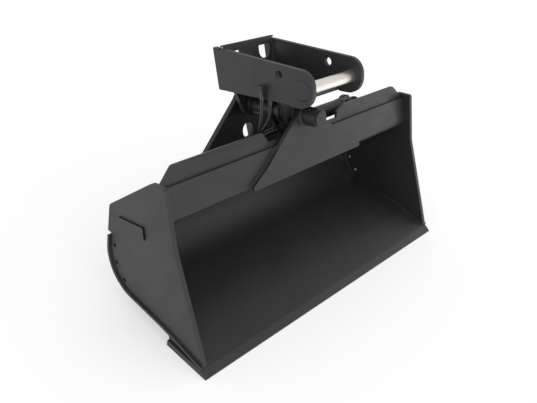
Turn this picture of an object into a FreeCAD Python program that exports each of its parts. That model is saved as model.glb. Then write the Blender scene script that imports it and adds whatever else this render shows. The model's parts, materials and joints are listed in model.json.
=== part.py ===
"""Tilt ditching bucket, 1600 mm wide, with its tilting adapter head and tilt cylinder.

Millimetres, +Z up, +X to the right, +Y to the rear.  The origin is the middle of the underside of
the cutting edge, on which the bucket rests level.

Three frames are used:
  bucket frame  y from the tip of the blade to the rear, z up from the underside of the blade
  face frame    in the plane of the top beam's front face, z up the face from its lower bend
  tilt frame    a along the pivot axis to the rear, n square to it and up, from the pivot's front end
"""

import FreeCAD, Part
import Sketcher
import math
import os
import re

os.makedirs("parts", exist_ok=True)
doc = FreeCAD.newDocument("tilt_ditching_bucket")

SIZES = {
    # bucket body
    "bucket_wide": 1600,
    "blade_deep": 225,
    "blade_thick": 25,
    "blade_bevel": 30,
    "blade_nose": 6,
    "shell_thick": 12,
    "floor_front": 32,
    "knee_back": 245,
    "knee_up": 60,
    "knee_radius": 1500,
    "heel_up": 78,
    "heel_radius": 170,
    "rear_back": 624,
    "shell_top": 285,
    "backing_front": 110,
    "backing_foot": 225,
    "backing_top": 236,
    # side plates
    "side_thick": 20,
    "side_inset": 10,
    "cheek_kink_back": 250,
    "cheek_kink_up": 440,
    "cheek_kink_radius": 160,
    "cheek_top_back": 326,
    "cheek_top_up": 660,
    "cheek_crown_back": 398,
    "cheek_crown_up": 646,
    "cheek_rear_back": 630,
    "cheek_rear_up": 424,
    "cheek_step_back": 634,
    "cheek_step_up": 297,
    "cheek_corner": 14,
    "cheek_round": 30,
    "side_hole_radius": 9,
    "side_hole_circle": 134,
    "side_hole_first": 5,
    "side_hole_pitch": 34,
    # top beam and rear panel
    "panel_fold_up": 410,
    "panel_top_back": 365.3,
    "panel_top_up": 616,
    "panel_fold_radius": 30,
    "beam_thick": 12,
    "beam_bend_back": 305,
    "beam_bend_up": 498,
    "beam_lean": 21.9,
    "beam_face": 147,
    "beam_fold_radius": 24,
    "beam_leg_back": 560,
    "beam_leg_up": 474,
    "guard_thick": 12,
    "guard_low": 138,
    "guard_high": 217,
    "guard_strip_up": 167,
    "guard_strip_end": 70,
    "guard_left_foot": 205,
    "guard_left_top": 240,
    "guard_right_foot": 240,
    "guard_right_shoulder": 250,
    "guard_shoulder_up": 193,
    "guard_right_top": 308,
    "guard_outer": 768,
    "guard_chamfer_in": 66,
    "guard_chamfer_down": 60,
    "guard_corner": 12,
    # runners under the floor
    "runner_wide": 40,
    "runner_end": 520,
    "runner_space": 560,
    "runner_bevel": 45,
    "runner_lead": 20,
    # ears and pivot
    "ear_thick": 20,
    "ear_hook": 352,
    "ear_hook_radius": 7,
    "ear_low": 9,
    "ear_hook_up": 25,
    "ear_neck_out": 262,
    "ear_neck_up": 79,
    "ear_neck_radius": 160,
    "ear_top_radius": 42,
    "crown_share": 0.96,
    "pivot_lead": 3,
    "pivot_rise": 243,
    "axis_slope": 14.6,
    "boss_radius": 40,
    "front_boss_long": 110,
    "rear_boss_long": 44,
    "hub_long": 320,
    "hub_gap": 0.8,
    "pivot_radius": 25,
    "running_gap": 0.05,
    "pin_plate_radius": 33,
    "pin_plate_thick": 8,
    "edge_break": 2,
    "lock_bolt_radius": 12,
    "lock_bolt_high": 10,
    "rear_ear_below": 80,
    "rear_ear_half": 300,
    "rear_ear_shoulder": 37,
    "rear_ear_foot_half": 272,
    "rear_ear_top_radius": 42,
    "rear_ear_seat": 2,
    "rear_window_radius": 34,
    "rear_window_up": 95,
    "gusset_thick": 14,
    "gusset_space": 120,
    "gusset_toe": 14,
    "gusset_deep": 96,
    "gusset_above": 96,
    # adapter head
    "head_wide": 330,
    "head_plate": 20,
    "head_low": 91,
    "head_nose": 98,
    "head_nose_low": 84,
    "head_nose_high": 229,
    "head_nose_radius": 67,
    "head_lobe_back": 6,
    "head_lobe_rise": 26,
    "head_lobe_radius": 20,
    "head_corner": 6,
    "head_rear_low": 421,
    "head_rear_high": 446,
    "head_high": 270,
    "shaft_back": -44,
    "shaft_up": 155,
    "shaft_radius": 25,
    "shaft_ring_radius": 38,
    "shaft_ring_thick": 6,
    "side_eye_back": 75,
    "side_eye_up": 200,
    "side_eye_radius": 18,
    "notch_wide": 8,
    "notch_deep": 7,
    "notch_drop": 3,
    "wall_inset": 40,
    "wall_thick": 20,
    "wall_drop": 6,
    "lock_hole_radius": 34,
    "lock_hole_flat": 25,
    "lock_hole_corner": 6,
    "lock_hole_space": 184,
    "lock_hole_up": 222,
    "base_thick": 20,
    "base_front": 10,
    "hub_radius": 40,
    "bush_radius": 31,
    "bush_long": 62,
    "lug_thick": 20,
    "front_lug_back": 118,
    "rear_lug_back": 373,
    "lug_half": 110,
    "lug_round": 54,
    "lug_edge": 16,
    "lug_deep": 48.6,
    "lug_corner": 43.2,
    "web_thick": 14,
    # tilt cylinder
    "cylinder_back": 215,
    "lever_side": 28,
    "lever_down": 75,
    "lever_thick": 14,
    "lever_round": 32,
    "lever_hub_round": 52,
    "eye_wide": 28,
    "eye_radius": 30,
    "eye_gap": 1,
    "eye_bush_radius": 21,
    "lever_pin_radius": 17.5,
    "pin_head_radius": 24,
    "pin_head_thick": 6,
    "neck_long": 62,
    "neck_high": 40,
    "neck_overrun": 6,
    "rod_radius": 16,
    "piston_reach": 288,
    "piston_long": 40,
    "tube_radius": 33,
    "tube_bore": 27,
    "gland_start": 172,
    "gland_collar": 17,
    "gland_radius": 36,
    "gland_long": 46,
    "wiper_gap": 3,
    "wiper_deep": 6,
    "tube_end": 412,
    "base_cap": 22,
    "base_plug": 16,
    "cap_bevel": 4,
    "base_neck": 12,
    "base_side": 487,
    "base_eye_wide": 40,
    "bracket_thick": 14,
    "bracket_gap": 1,
    "bracket_round": 34,
    "bracket_foot": 50,
    "bracket_shoulder": 64.6,
    "bracket_drop": 178,
    "bracket_corner": 20,
    # hydraulic lines
    "port_radius": 12,
    "front_port_side": 242,
    "rear_port_side": 384,
    "elbow_half": 12,
    "elbow_corner": 4,
    "line_back": 268,
    "line_down": 112,
    "port_down": 118,
    "line_pitch": 26,
    "valve_left": 40,
    "valve_right": 84,
    "valve_margin": 11,
    "valve_top": 92,
    "valve_drop": 150,
    "valve_corner": 3,
    "cartridge_radius": 10,
    "cartridge_high": 22,
    "cartridge_step": 13.2,
    "cartridge_tip_radius": 6,
    "cartridge_pitch": 28,
    "hose_radius": 7,
    "nut_radius": 11,
    "nut_long": 11,
    "ferrule_radius": 9.5,
    "fitting_long": 30,
    "side_line_back": 156,
    "side_line_out": 13,
    "side_line_top": 150,
    "side_line_end": 92,
    "side_block_half": 13,
    "side_block_corner": 8,
    "base_line_side": 133,
    "base_line_back": 152,
    "base_line_end": 61,
    "coupling_radius": 13,
    "coupling_long": 28,
    "base_coupling_side": 127,
    "side_coupling_back": 206,
    "side_coupling_up": 156,
    # cutting tools reach and start this far past what they cut
    "tool_reach": 400,
    "tool_past": 50,
    "tool_share": 0.3,
    # badge plate
    "badge_long": 108,
    "badge_high": 42,
    "badge_thick": 2,
    "badge_back": 500,
    "badge_up": 395,
    "badge_slope": -29,
    "badge_corner": 6,
}

sheet = doc.addObject("Spreadsheet::Sheet", "Sizes")
for row, (alias, value) in enumerate(SIZES.items(), start=1):
    sheet.set(f"A{row}", alias)
    sheet.set(f"B{row}", str(value))
    sheet.setAlias(f"B{row}", alias)
doc.recompute()

NAME = re.compile(r"[a-z_]+")


def bound(text):
    """The expression with each size name pointing at its cell."""
    return NAME.sub(lambda word: f"Sizes.{word[0]}" if word[0] in SIZES else word[0], str(text))


def size(text):
    """The present value of an expression of sizes."""
    value = sheet.evalExpression(bound(text))
    return float(value.Value) if hasattr(value, "Value") else float(value)


# places in the three frames

BUCKET_Y = "(-blade_deep / 2)"
PIVOT_BACK = "(beam_bend_back - pivot_lead)"
PIVOT_UP = "(beam_bend_up + pivot_rise)"
AXIS_Y = f"({PIVOT_BACK} - blade_deep / 2)"
TURN_X = FreeCAD.Vector(1, 0, 0)


def place(thing, side, back, up, turn="0"):
    """Puts the thing's own origin at a point of the part and turns it about X."""
    thing.Placement = FreeCAD.Placement(
        FreeCAD.Vector(size(side), size(back), size(up)), FreeCAD.Rotation(TURN_X, size(turn) or 1)
    )
    thing.setExpression("Placement.Base.x", bound(side))
    thing.setExpression("Placement.Base.y", bound(back))
    thing.setExpression("Placement.Base.z", bound(up))
    thing.setExpression("Placement.Rotation.Angle", bound(turn))


def in_bucket(thing, side="0", back="0", up="0"):
    place(thing, side, f"{BUCKET_Y} + {back}", up)


def on_face(thing, side="0", out="0", along="0"):
    """Face frame: out is square to the face, to the rear; along runs up it."""
    place(
        thing,
        side,
        f"{BUCKET_Y} + beam_bend_back + ({out}) * cos(beam_lean) + ({along}) * sin(beam_lean)",
        f"beam_bend_up - ({out}) * sin(beam_lean) + ({along}) * cos(beam_lean)",
        "-beam_lean",
    )


def in_tilt(thing, side="0", along="0", up="0", turn="0 deg"):
    """Tilt frame: along the pivot axis to the rear, and up square to it."""
    place(
        thing,
        side,
        f"{AXIS_Y} + ({along}) * cos(axis_slope) + ({up}) * sin(axis_slope)",
        f"{PIVOT_UP} - ({along}) * sin(axis_slope) + ({up}) * cos(axis_slope)",
        f"-axis_slope * 1 deg + ({turn})",
    )


# sketches

def sketch_on(body, plane, name):
    sketch = body.newObject("Sketcher::SketchObject", name)
    origin = [item for item in body.Origin.OriginFeatures if item.Role == plane][0]
    sketch.AttachmentSupport = [(origin, "")]
    sketch.MapMode = "FlatFace"
    return sketch


def tie(sketch, rules):
    """Adds the (constraint, size text or None) pairs in one go and binds those with a text."""
    numbers = sketch.addConstraint([rule[0] for rule in rules])
    for number, rule in zip(numbers, rules):
        if rule[1] is not None:
            sketch.setExpression(f"Constraints[{number}]", bound(rule[1]))


def at_place(geometry, end, across, up):
    """The two rules that tie a point of a sketch to its place."""
    return [
        (Sketcher.Constraint(kind, -1, 1, geometry, end, size(text)), text)
        for kind, text in (("DistanceX", across), ("DistanceY", up))
    ]


def outline(sketch, corners):
    """Draws a closed line through the corners (across, up), rounded where (across, up, radius)."""
    points = [FreeCAD.Vector(size(corner[0]), size(corner[1]), 0) for corner in corners]
    radii = [size(corner[2]) if len(corner) > 2 else 0 for corner in corners]
    count = len(points)
    ends = []
    for index, corner in enumerate(points):
        if not radii[index]:
            ends.append((corner, corner, corner))
            continue
        before = (points[index - 1] - corner).normalize()
        after = (points[(index + 1) % count] - corner).normalize()
        half = before.getAngle(after) / 2
        leg = radii[index] / math.tan(half)
        middle = (before + after).normalize() * (radii[index] / math.sin(half) - radii[index])
        ends.append((corner + before * leg, corner + after * leg, corner + middle))
    lines = []
    for index in range(count):
        line = Part.LineSegment(ends[index][1], ends[(index + 1) % count][0])
        lines.append(sketch.addGeometry(line, False))
    rules = []
    for index, corner in enumerate(corners):
        before = lines[index - 1]
        after = lines[index]
        if not radii[index]:
            rules.append((Sketcher.Constraint("Coincident", before, 2, after, 1), None))
            rules += at_place(after, 1, corner[0], corner[1])
            continue
        start, finish, middle = ends[index]
        leftward = (middle - start).cross(finish - middle).z > 0
        curve = Part.Arc(start, middle, finish) if leftward else Part.Arc(finish, middle, start)
        arc = sketch.addGeometry(curve, False)
        tip = sketch.addGeometry(Part.Point(points[index]), True)
        first, last = (1, 2) if leftward else (2, 1)
        rules.append((Sketcher.Constraint("Tangent", before, 2, arc, first), None))
        rules.append((Sketcher.Constraint("Tangent", arc, last, after, 1), None))
        rules.append((Sketcher.Constraint("Radius", arc, radii[index]), corner[2]))
        rules.append((Sketcher.Constraint("PointOnObject", tip, 1, before), None))
        rules.append((Sketcher.Constraint("PointOnObject", tip, 1, after), None))
        rules += at_place(tip, 1, corner[0], corner[1])
    tie(sketch, rules)


def circle(sketch, across, up, radius):
    centre = FreeCAD.Vector(size(across), size(up), 0)
    ring = sketch.addGeometry(Part.Circle(centre, FreeCAD.Vector(0, 0, 1), size(radius)), False)
    tie(sketch, [(Sketcher.Constraint("Radius", ring, size(radius)), radius)] + at_place(ring, 3, across, up))


def link(sketch, first, second):
    """The outline of two rounds (across, up, radius) joined by their outer tangents."""
    centres = [FreeCAD.Vector(size(item[0]), size(item[1]), 0) for item in (first, second)]
    radii = [size(first[2]), size(second[2])]
    span = centres[1] - centres[0]
    heading = math.atan2(span.y, span.x)
    spread = math.acos((radii[0] - radii[1]) / span.Length)

    def rim(index, angle):
        return centres[index] + FreeCAD.Vector(math.cos(angle), math.sin(angle), 0) * radii[index]

    upper = heading + spread
    lower = heading - spread
    near_side = Part.Arc(rim(0, upper), rim(0, heading + math.pi), rim(0, lower))
    far_side = Part.Arc(rim(1, lower), rim(1, heading), rim(1, upper))
    arcs = [sketch.addGeometry(near_side, False), sketch.addGeometry(far_side, False)]
    top = sketch.addGeometry(Part.LineSegment(rim(1, upper), rim(0, upper)), False)
    bottom = sketch.addGeometry(Part.LineSegment(rim(0, lower), rim(1, lower)), False)
    rules = []
    for line, start, finish in ((top, (1, upper), (0, upper)), (bottom, (0, lower), (1, lower))):
        for end, (index, angle) in ((1, start), (2, finish)):
            arc = arcs[index]
            at_start = sketch.Geometry[arc].StartPoint.distanceToPoint(rim(index, angle)) < 1e-6
            rules.append((Sketcher.Constraint("Tangent", line, end, arc, 1 if at_start else 2), None))
    for arc, item in zip(arcs, (first, second)):
        rules.append((Sketcher.Constraint("Radius", arc, size(item[2])), item[2]))
        rules += at_place(arc, 3, item[0], item[1])
    tie(sketch, rules)


# features

def padded(name, plane, thick, corners=None, rounds=None, holes=()):
    """A plate, centred on its sketch plane: straight-sided corners, or a link of two rounds."""
    body = doc.addObject("PartDesign::Body", name)
    sketch = sketch_on(body, plane, name + "_outline")
    if corners:
        outline(sketch, corners)
    else:
        link(sketch, *rounds)
    for hole in holes:
        circle(sketch, *hole)
    pad = body.newObject("PartDesign::Pad", name + "_pad")
    pad.Profile = sketch
    pad.SideType = "Symmetric"
    pad.setExpression("Length", bound(thick))
    return body


def pocketed(body, plane, name, draw):
    """Cuts right through the body with what draw puts on the plane."""
    sketch = sketch_on(body, plane, name + "_outline")
    draw(sketch)
    pocket = body.newObject("PartDesign::Pocket", name)
    pocket.Profile = sketch
    pocket.SideType = "Symmetric"
    pocket.Type = "ThroughAll"
    return pocket


def turned(name, corners, about_x=True):
    """A round piece: its half section (along, radius) is turned about X, or about Y."""
    body = doc.addObject("PartDesign::Body", name)
    sketch = sketch_on(body, "XY_Plane", name + "_section")
    outline(sketch, corners if about_x else [(radius, along) for along, radius in corners])
    turn = body.newObject("PartDesign::Revolution", name + "_turn")
    turn.Profile = sketch
    turn.ReferenceAxis = (sketch, ["H_Axis" if about_x else "V_Axis"])
    turn.Angle = 360
    return body


def slopes_of(corners):
    """The direction of each side of an open line of corners, in degrees from level."""
    return [
        f"atan2(({end[1]}) - ({start[1]}); ({end[0]}) - ({start[0]}))"
        for start, end in zip(corners, corners[1:])
    ]


def beside(corners, depth):
    """The line that runs at a depth to the left of an open line of corners."""
    slopes = slopes_of(corners)
    result = []
    for index, corner in enumerate(corners):
        before = slopes[max(index - 1, 0)]
        after = slopes[min(index, len(slopes) - 1)]
        mean = f"(({before}) + ({after})) / 2"
        reach = f"({depth}) / cos((({after}) - ({before})) / 2)"
        moved = (f"{corner[0]} - {reach} * sin({mean})", f"{corner[1]} + {reach} * cos({mean})")
        if len(corner) > 2:
            sign = "-" if size(after) > size(before) else "+"
            moved += (f"{corner[2]} {sign} ({depth})",)
        result.append(moved)
    return result


def folded(name, corners, wide, thick):
    """A plate folded along X: its outer line in the bucket frame, and its thickness to the left."""
    return padded(name, "YZ_Plane", wide, corners + beside(corners, thick)[::-1])


def cut(name, base, tool):
    result = doc.addObject("Part::Cut", name)
    result.Base = base
    result.Tool = tool
    return result


def fused(name, pieces):
    """Pieces of one node: welded together where they touch, or a group of like pieces."""
    result = doc.addObject("Part::MultiFuse", name)
    result.Shapes = pieces
    return result


def rod(name, radius, length):
    """A bare cylinder, upright until it is placed; a turn of -90 degrees lays it along Y."""
    solid = doc.addObject("Part::Cylinder", name)
    solid.setExpression("Radius", bound(radius))
    solid.setExpression("Height", bound(length))
    return solid


nodes = {}


def keep(name, thing):
    """Counts a finished piece in, under its own name."""
    thing.Label = name
    nodes[name] = thing
    return thing


# the shell's outer line from the blade round the heel, and the slopes of its two straight runs

FLOOR = [
    ("floor_front", "blade_thick"),
    ("knee_back", "knee_up", "knee_radius"),
    ("rear_back", "heel_up", "heel_radius"),
]
FRONT_RISE = "(knee_up - blade_thick) / (knee_back - floor_front)"
REAR_RISE = "(heel_up - knee_up) / (rear_back - knee_back)"


def build_blade():
    blade = padded("cutting_edge", "YZ_Plane", "bucket_wide", [
        ("0", "0"),
        ("blade_deep", "0"),
        ("blade_deep", "blade_thick"),
        ("blade_bevel", "blade_thick"),
        ("0", "blade_nose"),
    ])
    in_bucket(blade)
    keep("cutting_edge", blade)

    backing = padded("lip_backing_blank", "YZ_Plane", "bucket_wide - 2 * side_inset", [
        ("backing_front", "blade_thick"),
        ("backing_foot", "blade_thick"),
        ("backing_top", f"blade_thick + (backing_top - floor_front) * {FRONT_RISE}"),
        ("backing_top", f"blade_thick + shell_thick + (backing_top - floor_front) * {FRONT_RISE}"),
        ("backing_front", f"blade_thick + shell_thick + (backing_front - floor_front) * {FRONT_RISE}"),
    ])
    in_bucket(backing)
    keep("lip_backing", cut("lip_backing", backing, core_tool("backing_core")))


def build_shell():
    shell = folded("bottom_shell", FLOOR + [("rear_back", "shell_top")], "bucket_wide", "shell_thick")
    in_bucket(shell)
    keep("bottom_shell", shell)


def build_runners():
    """Three runners under the floor, level with the blade's underside."""
    runners = []
    for number in (-1, 0, 1):
        runner = padded(f"runner_{number + 2}", "YZ_Plane", "runner_wide", [
            ("blade_deep", "0"),
            ("runner_end - runner_bevel", "0"),
            ("runner_end", "runner_bevel"),
            ("runner_end", f"knee_up + (runner_end - knee_back) * {REAR_RISE} + heel_radius"),
            ("blade_deep + runner_lead", f"knee_up + (blade_deep + runner_lead - knee_back) * {FRONT_RISE}"),
            ("blade_deep", "blade_thick"),
        ])
        in_bucket(runner, side=f"runner_space * {number}")
        runners.append(runner)
    return runners


def core_tool(name):
    """The space inside the shell's outer surface, from the blade to the beam, as a cutting tool."""
    core = padded(name, "YZ_Plane", "bucket_wide + 2 * tool_past", FLOOR + [
        ("rear_back", "panel_fold_up", "panel_fold_radius"),
        ("panel_top_back", "panel_top_up"),
    ])
    in_bucket(core)
    return core


def beyond_tool(name):
    """A thick band behind the inner surface of the sloping panel, as a cutting tool."""
    panel = [
        ("rear_back", "panel_fold_up"),
        (
            "panel_top_back + tool_share * (rear_back - panel_top_back)",
            "panel_top_up - tool_share * (panel_top_up - panel_fold_up)",
        ),
    ]
    band = beside(panel, "-3 * tool_past") + beside(panel, "shell_thick")[::-1]
    beyond = padded(name, "YZ_Plane", "bucket_wide", band)
    in_bucket(beyond)
    return beyond


def build_beam():
    top_back = "beam_bend_back + beam_face * sin(beam_lean)"
    top_up = "beam_bend_up + beam_face * cos(beam_lean)"
    plate = folded("front_beam_plate", [
        (top_back, top_up),
        ("beam_bend_back", "beam_bend_up", "beam_fold_radius"),
        ("beam_leg_back", "beam_leg_up"),
    ], "bucket_wide - 2 * side_inset - 2 * side_thick", "beam_thick")
    in_bucket(plate)
    beam = cut("front_beam", plate, beyond_tool("beyond_panel"))
    keep("front_beam", beam)

    panel = folded("rear_panel_blank", [
        ("rear_back", "shell_top"),
        ("rear_back", "panel_fold_up", "panel_fold_radius"),
        ("panel_top_back", "panel_top_up"),
    ], "bucket_wide - 2 * side_inset - 2 * side_thick", "shell_thick")
    in_bucket(panel)
    keep("rear_panel", cut("rear_panel", panel, beam))

    left_end = [
        ("guard_left_top", "guard_high", "guard_corner"),
        ("guard_left_foot", "guard_strip_up", "guard_corner"),
    ]
    right_end = [
        ("guard_right_top", "guard_high", "guard_corner"),
        ("guard_right_shoulder", "guard_shoulder_up", "guard_corner"),
        ("guard_right_foot", "guard_strip_up"),
    ]
    for name, hand, inner_end in (("guard_plate_left", -1, left_end), ("guard_plate_right", 1, right_end)):
        corners = [
            ("guard_strip_end", "guard_low"),
            ("guard_outer", "guard_low"),
            ("guard_outer", "guard_high - guard_chamfer_down", "guard_corner"),
            ("guard_outer - guard_chamfer_in", "guard_high", "guard_corner * 2"),
        ] + inner_end + [("guard_strip_end", "guard_strip_up")]
        mirrored = [(f"{hand} * ({corner[0]})",) + corner[1:] for corner in corners]
        guard = padded(name, "XZ_Plane", "guard_thick", mirrored)
        on_face(guard, out="beam_thick + guard_thick / 2")
        keep(name, cut(name, guard, core_tool(name + "_core")))


def build_sides():
    cheek = beside(FLOOR + [("rear_back", "shell_top")], "shell_thick")[:3] + [
        ("rear_back - shell_thick", "cheek_step_up"),
        ("cheek_step_back", "cheek_step_up"),
        ("cheek_rear_back", "cheek_rear_up", "cheek_round"),
        ("cheek_crown_back", "cheek_crown_up", "cheek_round"),
        ("cheek_top_back", "cheek_top_up", "cheek_corner"),
        ("cheek_kink_back", "cheek_kink_up", "cheek_kink_radius"),
    ]
    heel_back = "rear_back - heel_radius"
    heel_up = f"heel_up + heel_radius * (1 - sin(atan({REAR_RISE}))) / cos(atan({REAR_RISE}))"
    holes = []
    for number in range(3):
        angle = f"(side_hole_first - {number} * side_hole_pitch)"
        holes.append((
            f"{heel_back} + side_hole_circle * cos({angle})",
            f"{heel_up} + side_hole_circle * sin({angle})",
            "side_hole_radius",
        ))
    for name, hand in (("side_plate_left", -1), ("side_plate_right", 1)):
        plate = padded(name, "YZ_Plane", "side_thick", cheek, holes=holes)
        in_bucket(plate, side=f"{hand} * (bucket_wide / 2 - side_inset - side_thick / 2)")
        keep(name, plate)

    badge = padded("badge_plate", "YZ_Plane", "badge_thick", [
        ("-badge_long / 2", "-badge_high / 2", "badge_corner"),
        ("badge_long / 2", "-badge_high / 2", "badge_corner"),
        ("badge_long / 2", "badge_high / 2", "badge_corner"),
        ("-badge_long / 2", "badge_high / 2", "badge_corner"),
    ])
    place(
        badge,
        "-bucket_wide / 2 + side_inset - badge_thick / 2",
        f"{BUCKET_Y} + badge_back",
        "badge_up",
        "badge_slope",
    )
    keep("badge_plate", badge)


# the foot of the rear ear, and the pivot boss places along the pivot axis

REAR_EAR_FOOT = "(panel_fold_up - rear_ear_below)"

HUB_START = "(front_boss_long + hub_gap)"
HUB_END = "(front_boss_long + hub_gap + hub_long)"
REAR_BOSS = "(front_boss_long + 2 * hub_gap + hub_long)"
PIVOT_END = "(front_boss_long + 2 * hub_gap + hub_long + rear_boss_long)"


def boss_bore(name, start, length):
    """A solid cylinder on the pivot axis that cuts the seat of a boss."""
    bore = rod(name, "boss_radius", length)
    in_tilt(bore, along=start, turn="-90 deg")
    doc.recompute()
    return bore


def crown_half(out, up, centre_up, radius):
    """Half the width of the flat top from which a round about the pivot is cut, tangent to the slope."""
    rise = f"(({centre_up}) - ({up}))"
    slope = f"(atan2({rise}; {out}) + asin({radius} / sqrt({rise} ^ 2 + ({out}) ^ 2)))"
    return f"{radius} * tan({slope} / 2)"


def build_front_ear():
    """The ear stands on the beam's face; its top round sits about the boss."""
    # height up the face at which the pivot axis crosses the middle of the ear
    cross = (
        "(pivot_rise * cos(axis_slope) - pivot_lead * sin(axis_slope)"
        " - ear_thick / 2 * sin(beam_lean - axis_slope)) / cos(beam_lean - axis_slope)"
    )
    crown = crown_half("ear_neck_out", "ear_neck_up", cross, "ear_top_radius")
    blank = padded("front_ear_blank", "XZ_Plane", "ear_thick", [
        ("-ear_hook", "ear_low", "ear_hook_radius"),
        ("ear_hook", "ear_low", "ear_hook_radius"),
        ("ear_hook", "ear_hook_up", "ear_hook_radius"),
        ("ear_neck_out", "ear_neck_up", "ear_neck_radius"),
        (crown, f"{cross} + ear_top_radius", "ear_top_radius * crown_share"),
        (f"-({crown})", f"{cross} + ear_top_radius", "ear_top_radius * crown_share"),
        ("-ear_neck_out", "ear_neck_up", "ear_neck_radius"),
        ("-ear_hook", "ear_hook_up", "ear_hook_radius"),
    ])
    on_face(blank, out="-ear_thick / 2")
    keep("front_ear", cut("front_ear", blank, boss_bore("front_ear_bore", "0", "front_boss_long")))


def build_rear_ear():
    """The rear ear is folded back from the rear wall up to the pivot axis, then cut to a triangle."""
    seat_along = f"({REAR_BOSS} + rear_ear_seat)"
    hub_back = f"{PIVOT_BACK} + {seat_along} * cos(axis_slope)"
    hub_up = f"({PIVOT_UP} - {seat_along} * sin(axis_slope))"
    fold_up = "panel_fold_up - panel_fold_radius"
    lean = f"atan(({hub_back} - rear_back) / ({hub_up} - {fold_up}))"
    plate = folded("rear_ear_blank", [
        ("rear_back", REAR_EAR_FOOT),
        ("rear_back", fold_up, "panel_fold_radius"),
        (f"{hub_back} + rear_ear_top_radius * sin({lean})", f"{hub_up} + rear_ear_top_radius * cos({lean})"),
    ], "2 * rear_ear_half", "-ear_thick")
    in_bucket(plate)
    shoulder = "(panel_fold_up + rear_ear_shoulder)"
    crown = crown_half("rear_ear_half", shoulder, hub_up, "rear_ear_top_radius")
    shape = padded("rear_ear_shape", "XZ_Plane", "tool_reach", [
        ("-rear_ear_foot_half", f"{REAR_EAR_FOOT} - tool_past"),
        ("rear_ear_foot_half", f"{REAR_EAR_FOOT} - tool_past"),
        ("rear_ear_half", shoulder, "panel_fold_radius"),
        (crown, f"{hub_up} + rear_ear_top_radius", "rear_ear_top_radius * crown_share"),
        (f"-({crown})", f"{hub_up} + rear_ear_top_radius", "rear_ear_top_radius * crown_share"),
        ("-rear_ear_half", shoulder, "panel_fold_radius"),
    ], holes=[("0", "panel_fold_up + rear_window_up", "rear_window_radius")])
    in_bucket(shape, back="rear_back")
    common = doc.addObject("Part::Common", "rear_ear_cutout")
    common.Base = plate
    common.Tool = shape
    doc.recompute()
    seat = boss_bore("rear_ear_bore", REAR_BOSS, "rear_boss_long")
    keep("rear_ear", cut("rear_ear", common, seat))

    gussets = []
    for hand in (-1, 1):
        gusset = padded(f"rear_gusset_{'left' if hand < 0 else 'right'}", "YZ_Plane", "gusset_thick", [
            ("rear_back + ear_thick", REAR_EAR_FOOT),
            ("rear_back + ear_thick + gusset_toe", REAR_EAR_FOOT),
            ("rear_back + ear_thick + gusset_deep", "panel_fold_up + gusset_above - gusset_toe"),
            ("rear_back + ear_thick + gusset_deep", "panel_fold_up + gusset_above"),
            ("rear_back + ear_thick", "panel_fold_up + gusset_above"),
        ])
        in_bucket(gusset, side=f"{hand} * gusset_space / 2")
        gussets.append(gusset)
    both = fused("rear_gusset_pair", gussets)
    trimmed = cut("rear_gussets_trimmed", both, plate_behind_tool(lean, fold_up))
    keep("rear_gussets", cut("rear_gussets", trimmed, plate))


def plate_behind_tool(lean, fold_up):
    """The rear ear and all that lies in front of it, as a cutting tool for its gussets."""
    tool = padded("rear_ear_space", "YZ_Plane", "bucket_wide", [
        ("rear_back - tool_past", f"{REAR_EAR_FOOT} - tool_past"),
        ("rear_back + ear_thick", f"{REAR_EAR_FOOT} - tool_past"),
        ("rear_back + ear_thick", f"{fold_up} - ear_thick * tan({lean} / 2)"),
        (
            f"rear_back + ear_thick + tool_reach * sin({lean})",
            f"{fold_up} - ear_thick * tan({lean} / 2) + tool_reach * cos({lean})",
        ),
        ("rear_back - tool_past", f"{fold_up} + tool_reach"),
    ])
    in_bucket(tool)
    return tool


def build_pivot():
    front = turned("front_pivot_boss", [
        ("0", "pivot_radius + running_gap"),
        ("0", "boss_radius"),
        ("front_boss_long", "boss_radius"),
        ("front_boss_long", "pivot_radius + running_gap"),
    ], about_x=False)
    in_tilt(front)
    keep("front_pivot_boss", front)

    rear = turned("rear_pivot_boss", [
        ("0", "pivot_radius + running_gap"),
        ("0", "boss_radius"),
        ("rear_boss_long", "boss_radius"),
        ("rear_boss_long", "pivot_radius + running_gap"),
    ], about_x=False)
    in_tilt(rear, along=REAR_BOSS)
    keep("rear_pivot_boss", rear)

    pin = turned("pivot_pin", [
        ("-pin_plate_thick", "0"),
        ("-pin_plate_thick", "pin_plate_radius - edge_break"),
        ("-pin_plate_thick + edge_break", "pin_plate_radius"),
        ("0", "pin_plate_radius"),
        ("0", "pivot_radius"),
        (f"{PIVOT_END} - edge_break", "pivot_radius"),
        (PIVOT_END, "pivot_radius - edge_break"),
        (PIVOT_END, "0"),
    ], about_x=False)
    in_tilt(pin)
    keep("pivot_pin", pin)

    washer = turned("pin_retainer", [
        ("0", "0"),
        ("0", "pin_plate_radius"),
        ("pin_plate_thick", "pin_plate_radius"),
        ("pin_plate_thick", "lock_bolt_radius"),
        ("pin_plate_thick + lock_bolt_high", "lock_bolt_radius"),
        ("pin_plate_thick + lock_bolt_high", "0"),
    ], about_x=False)
    in_tilt(washer, along=PIVOT_END)
    keep("pin_retainer", washer)


# adapter head

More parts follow.
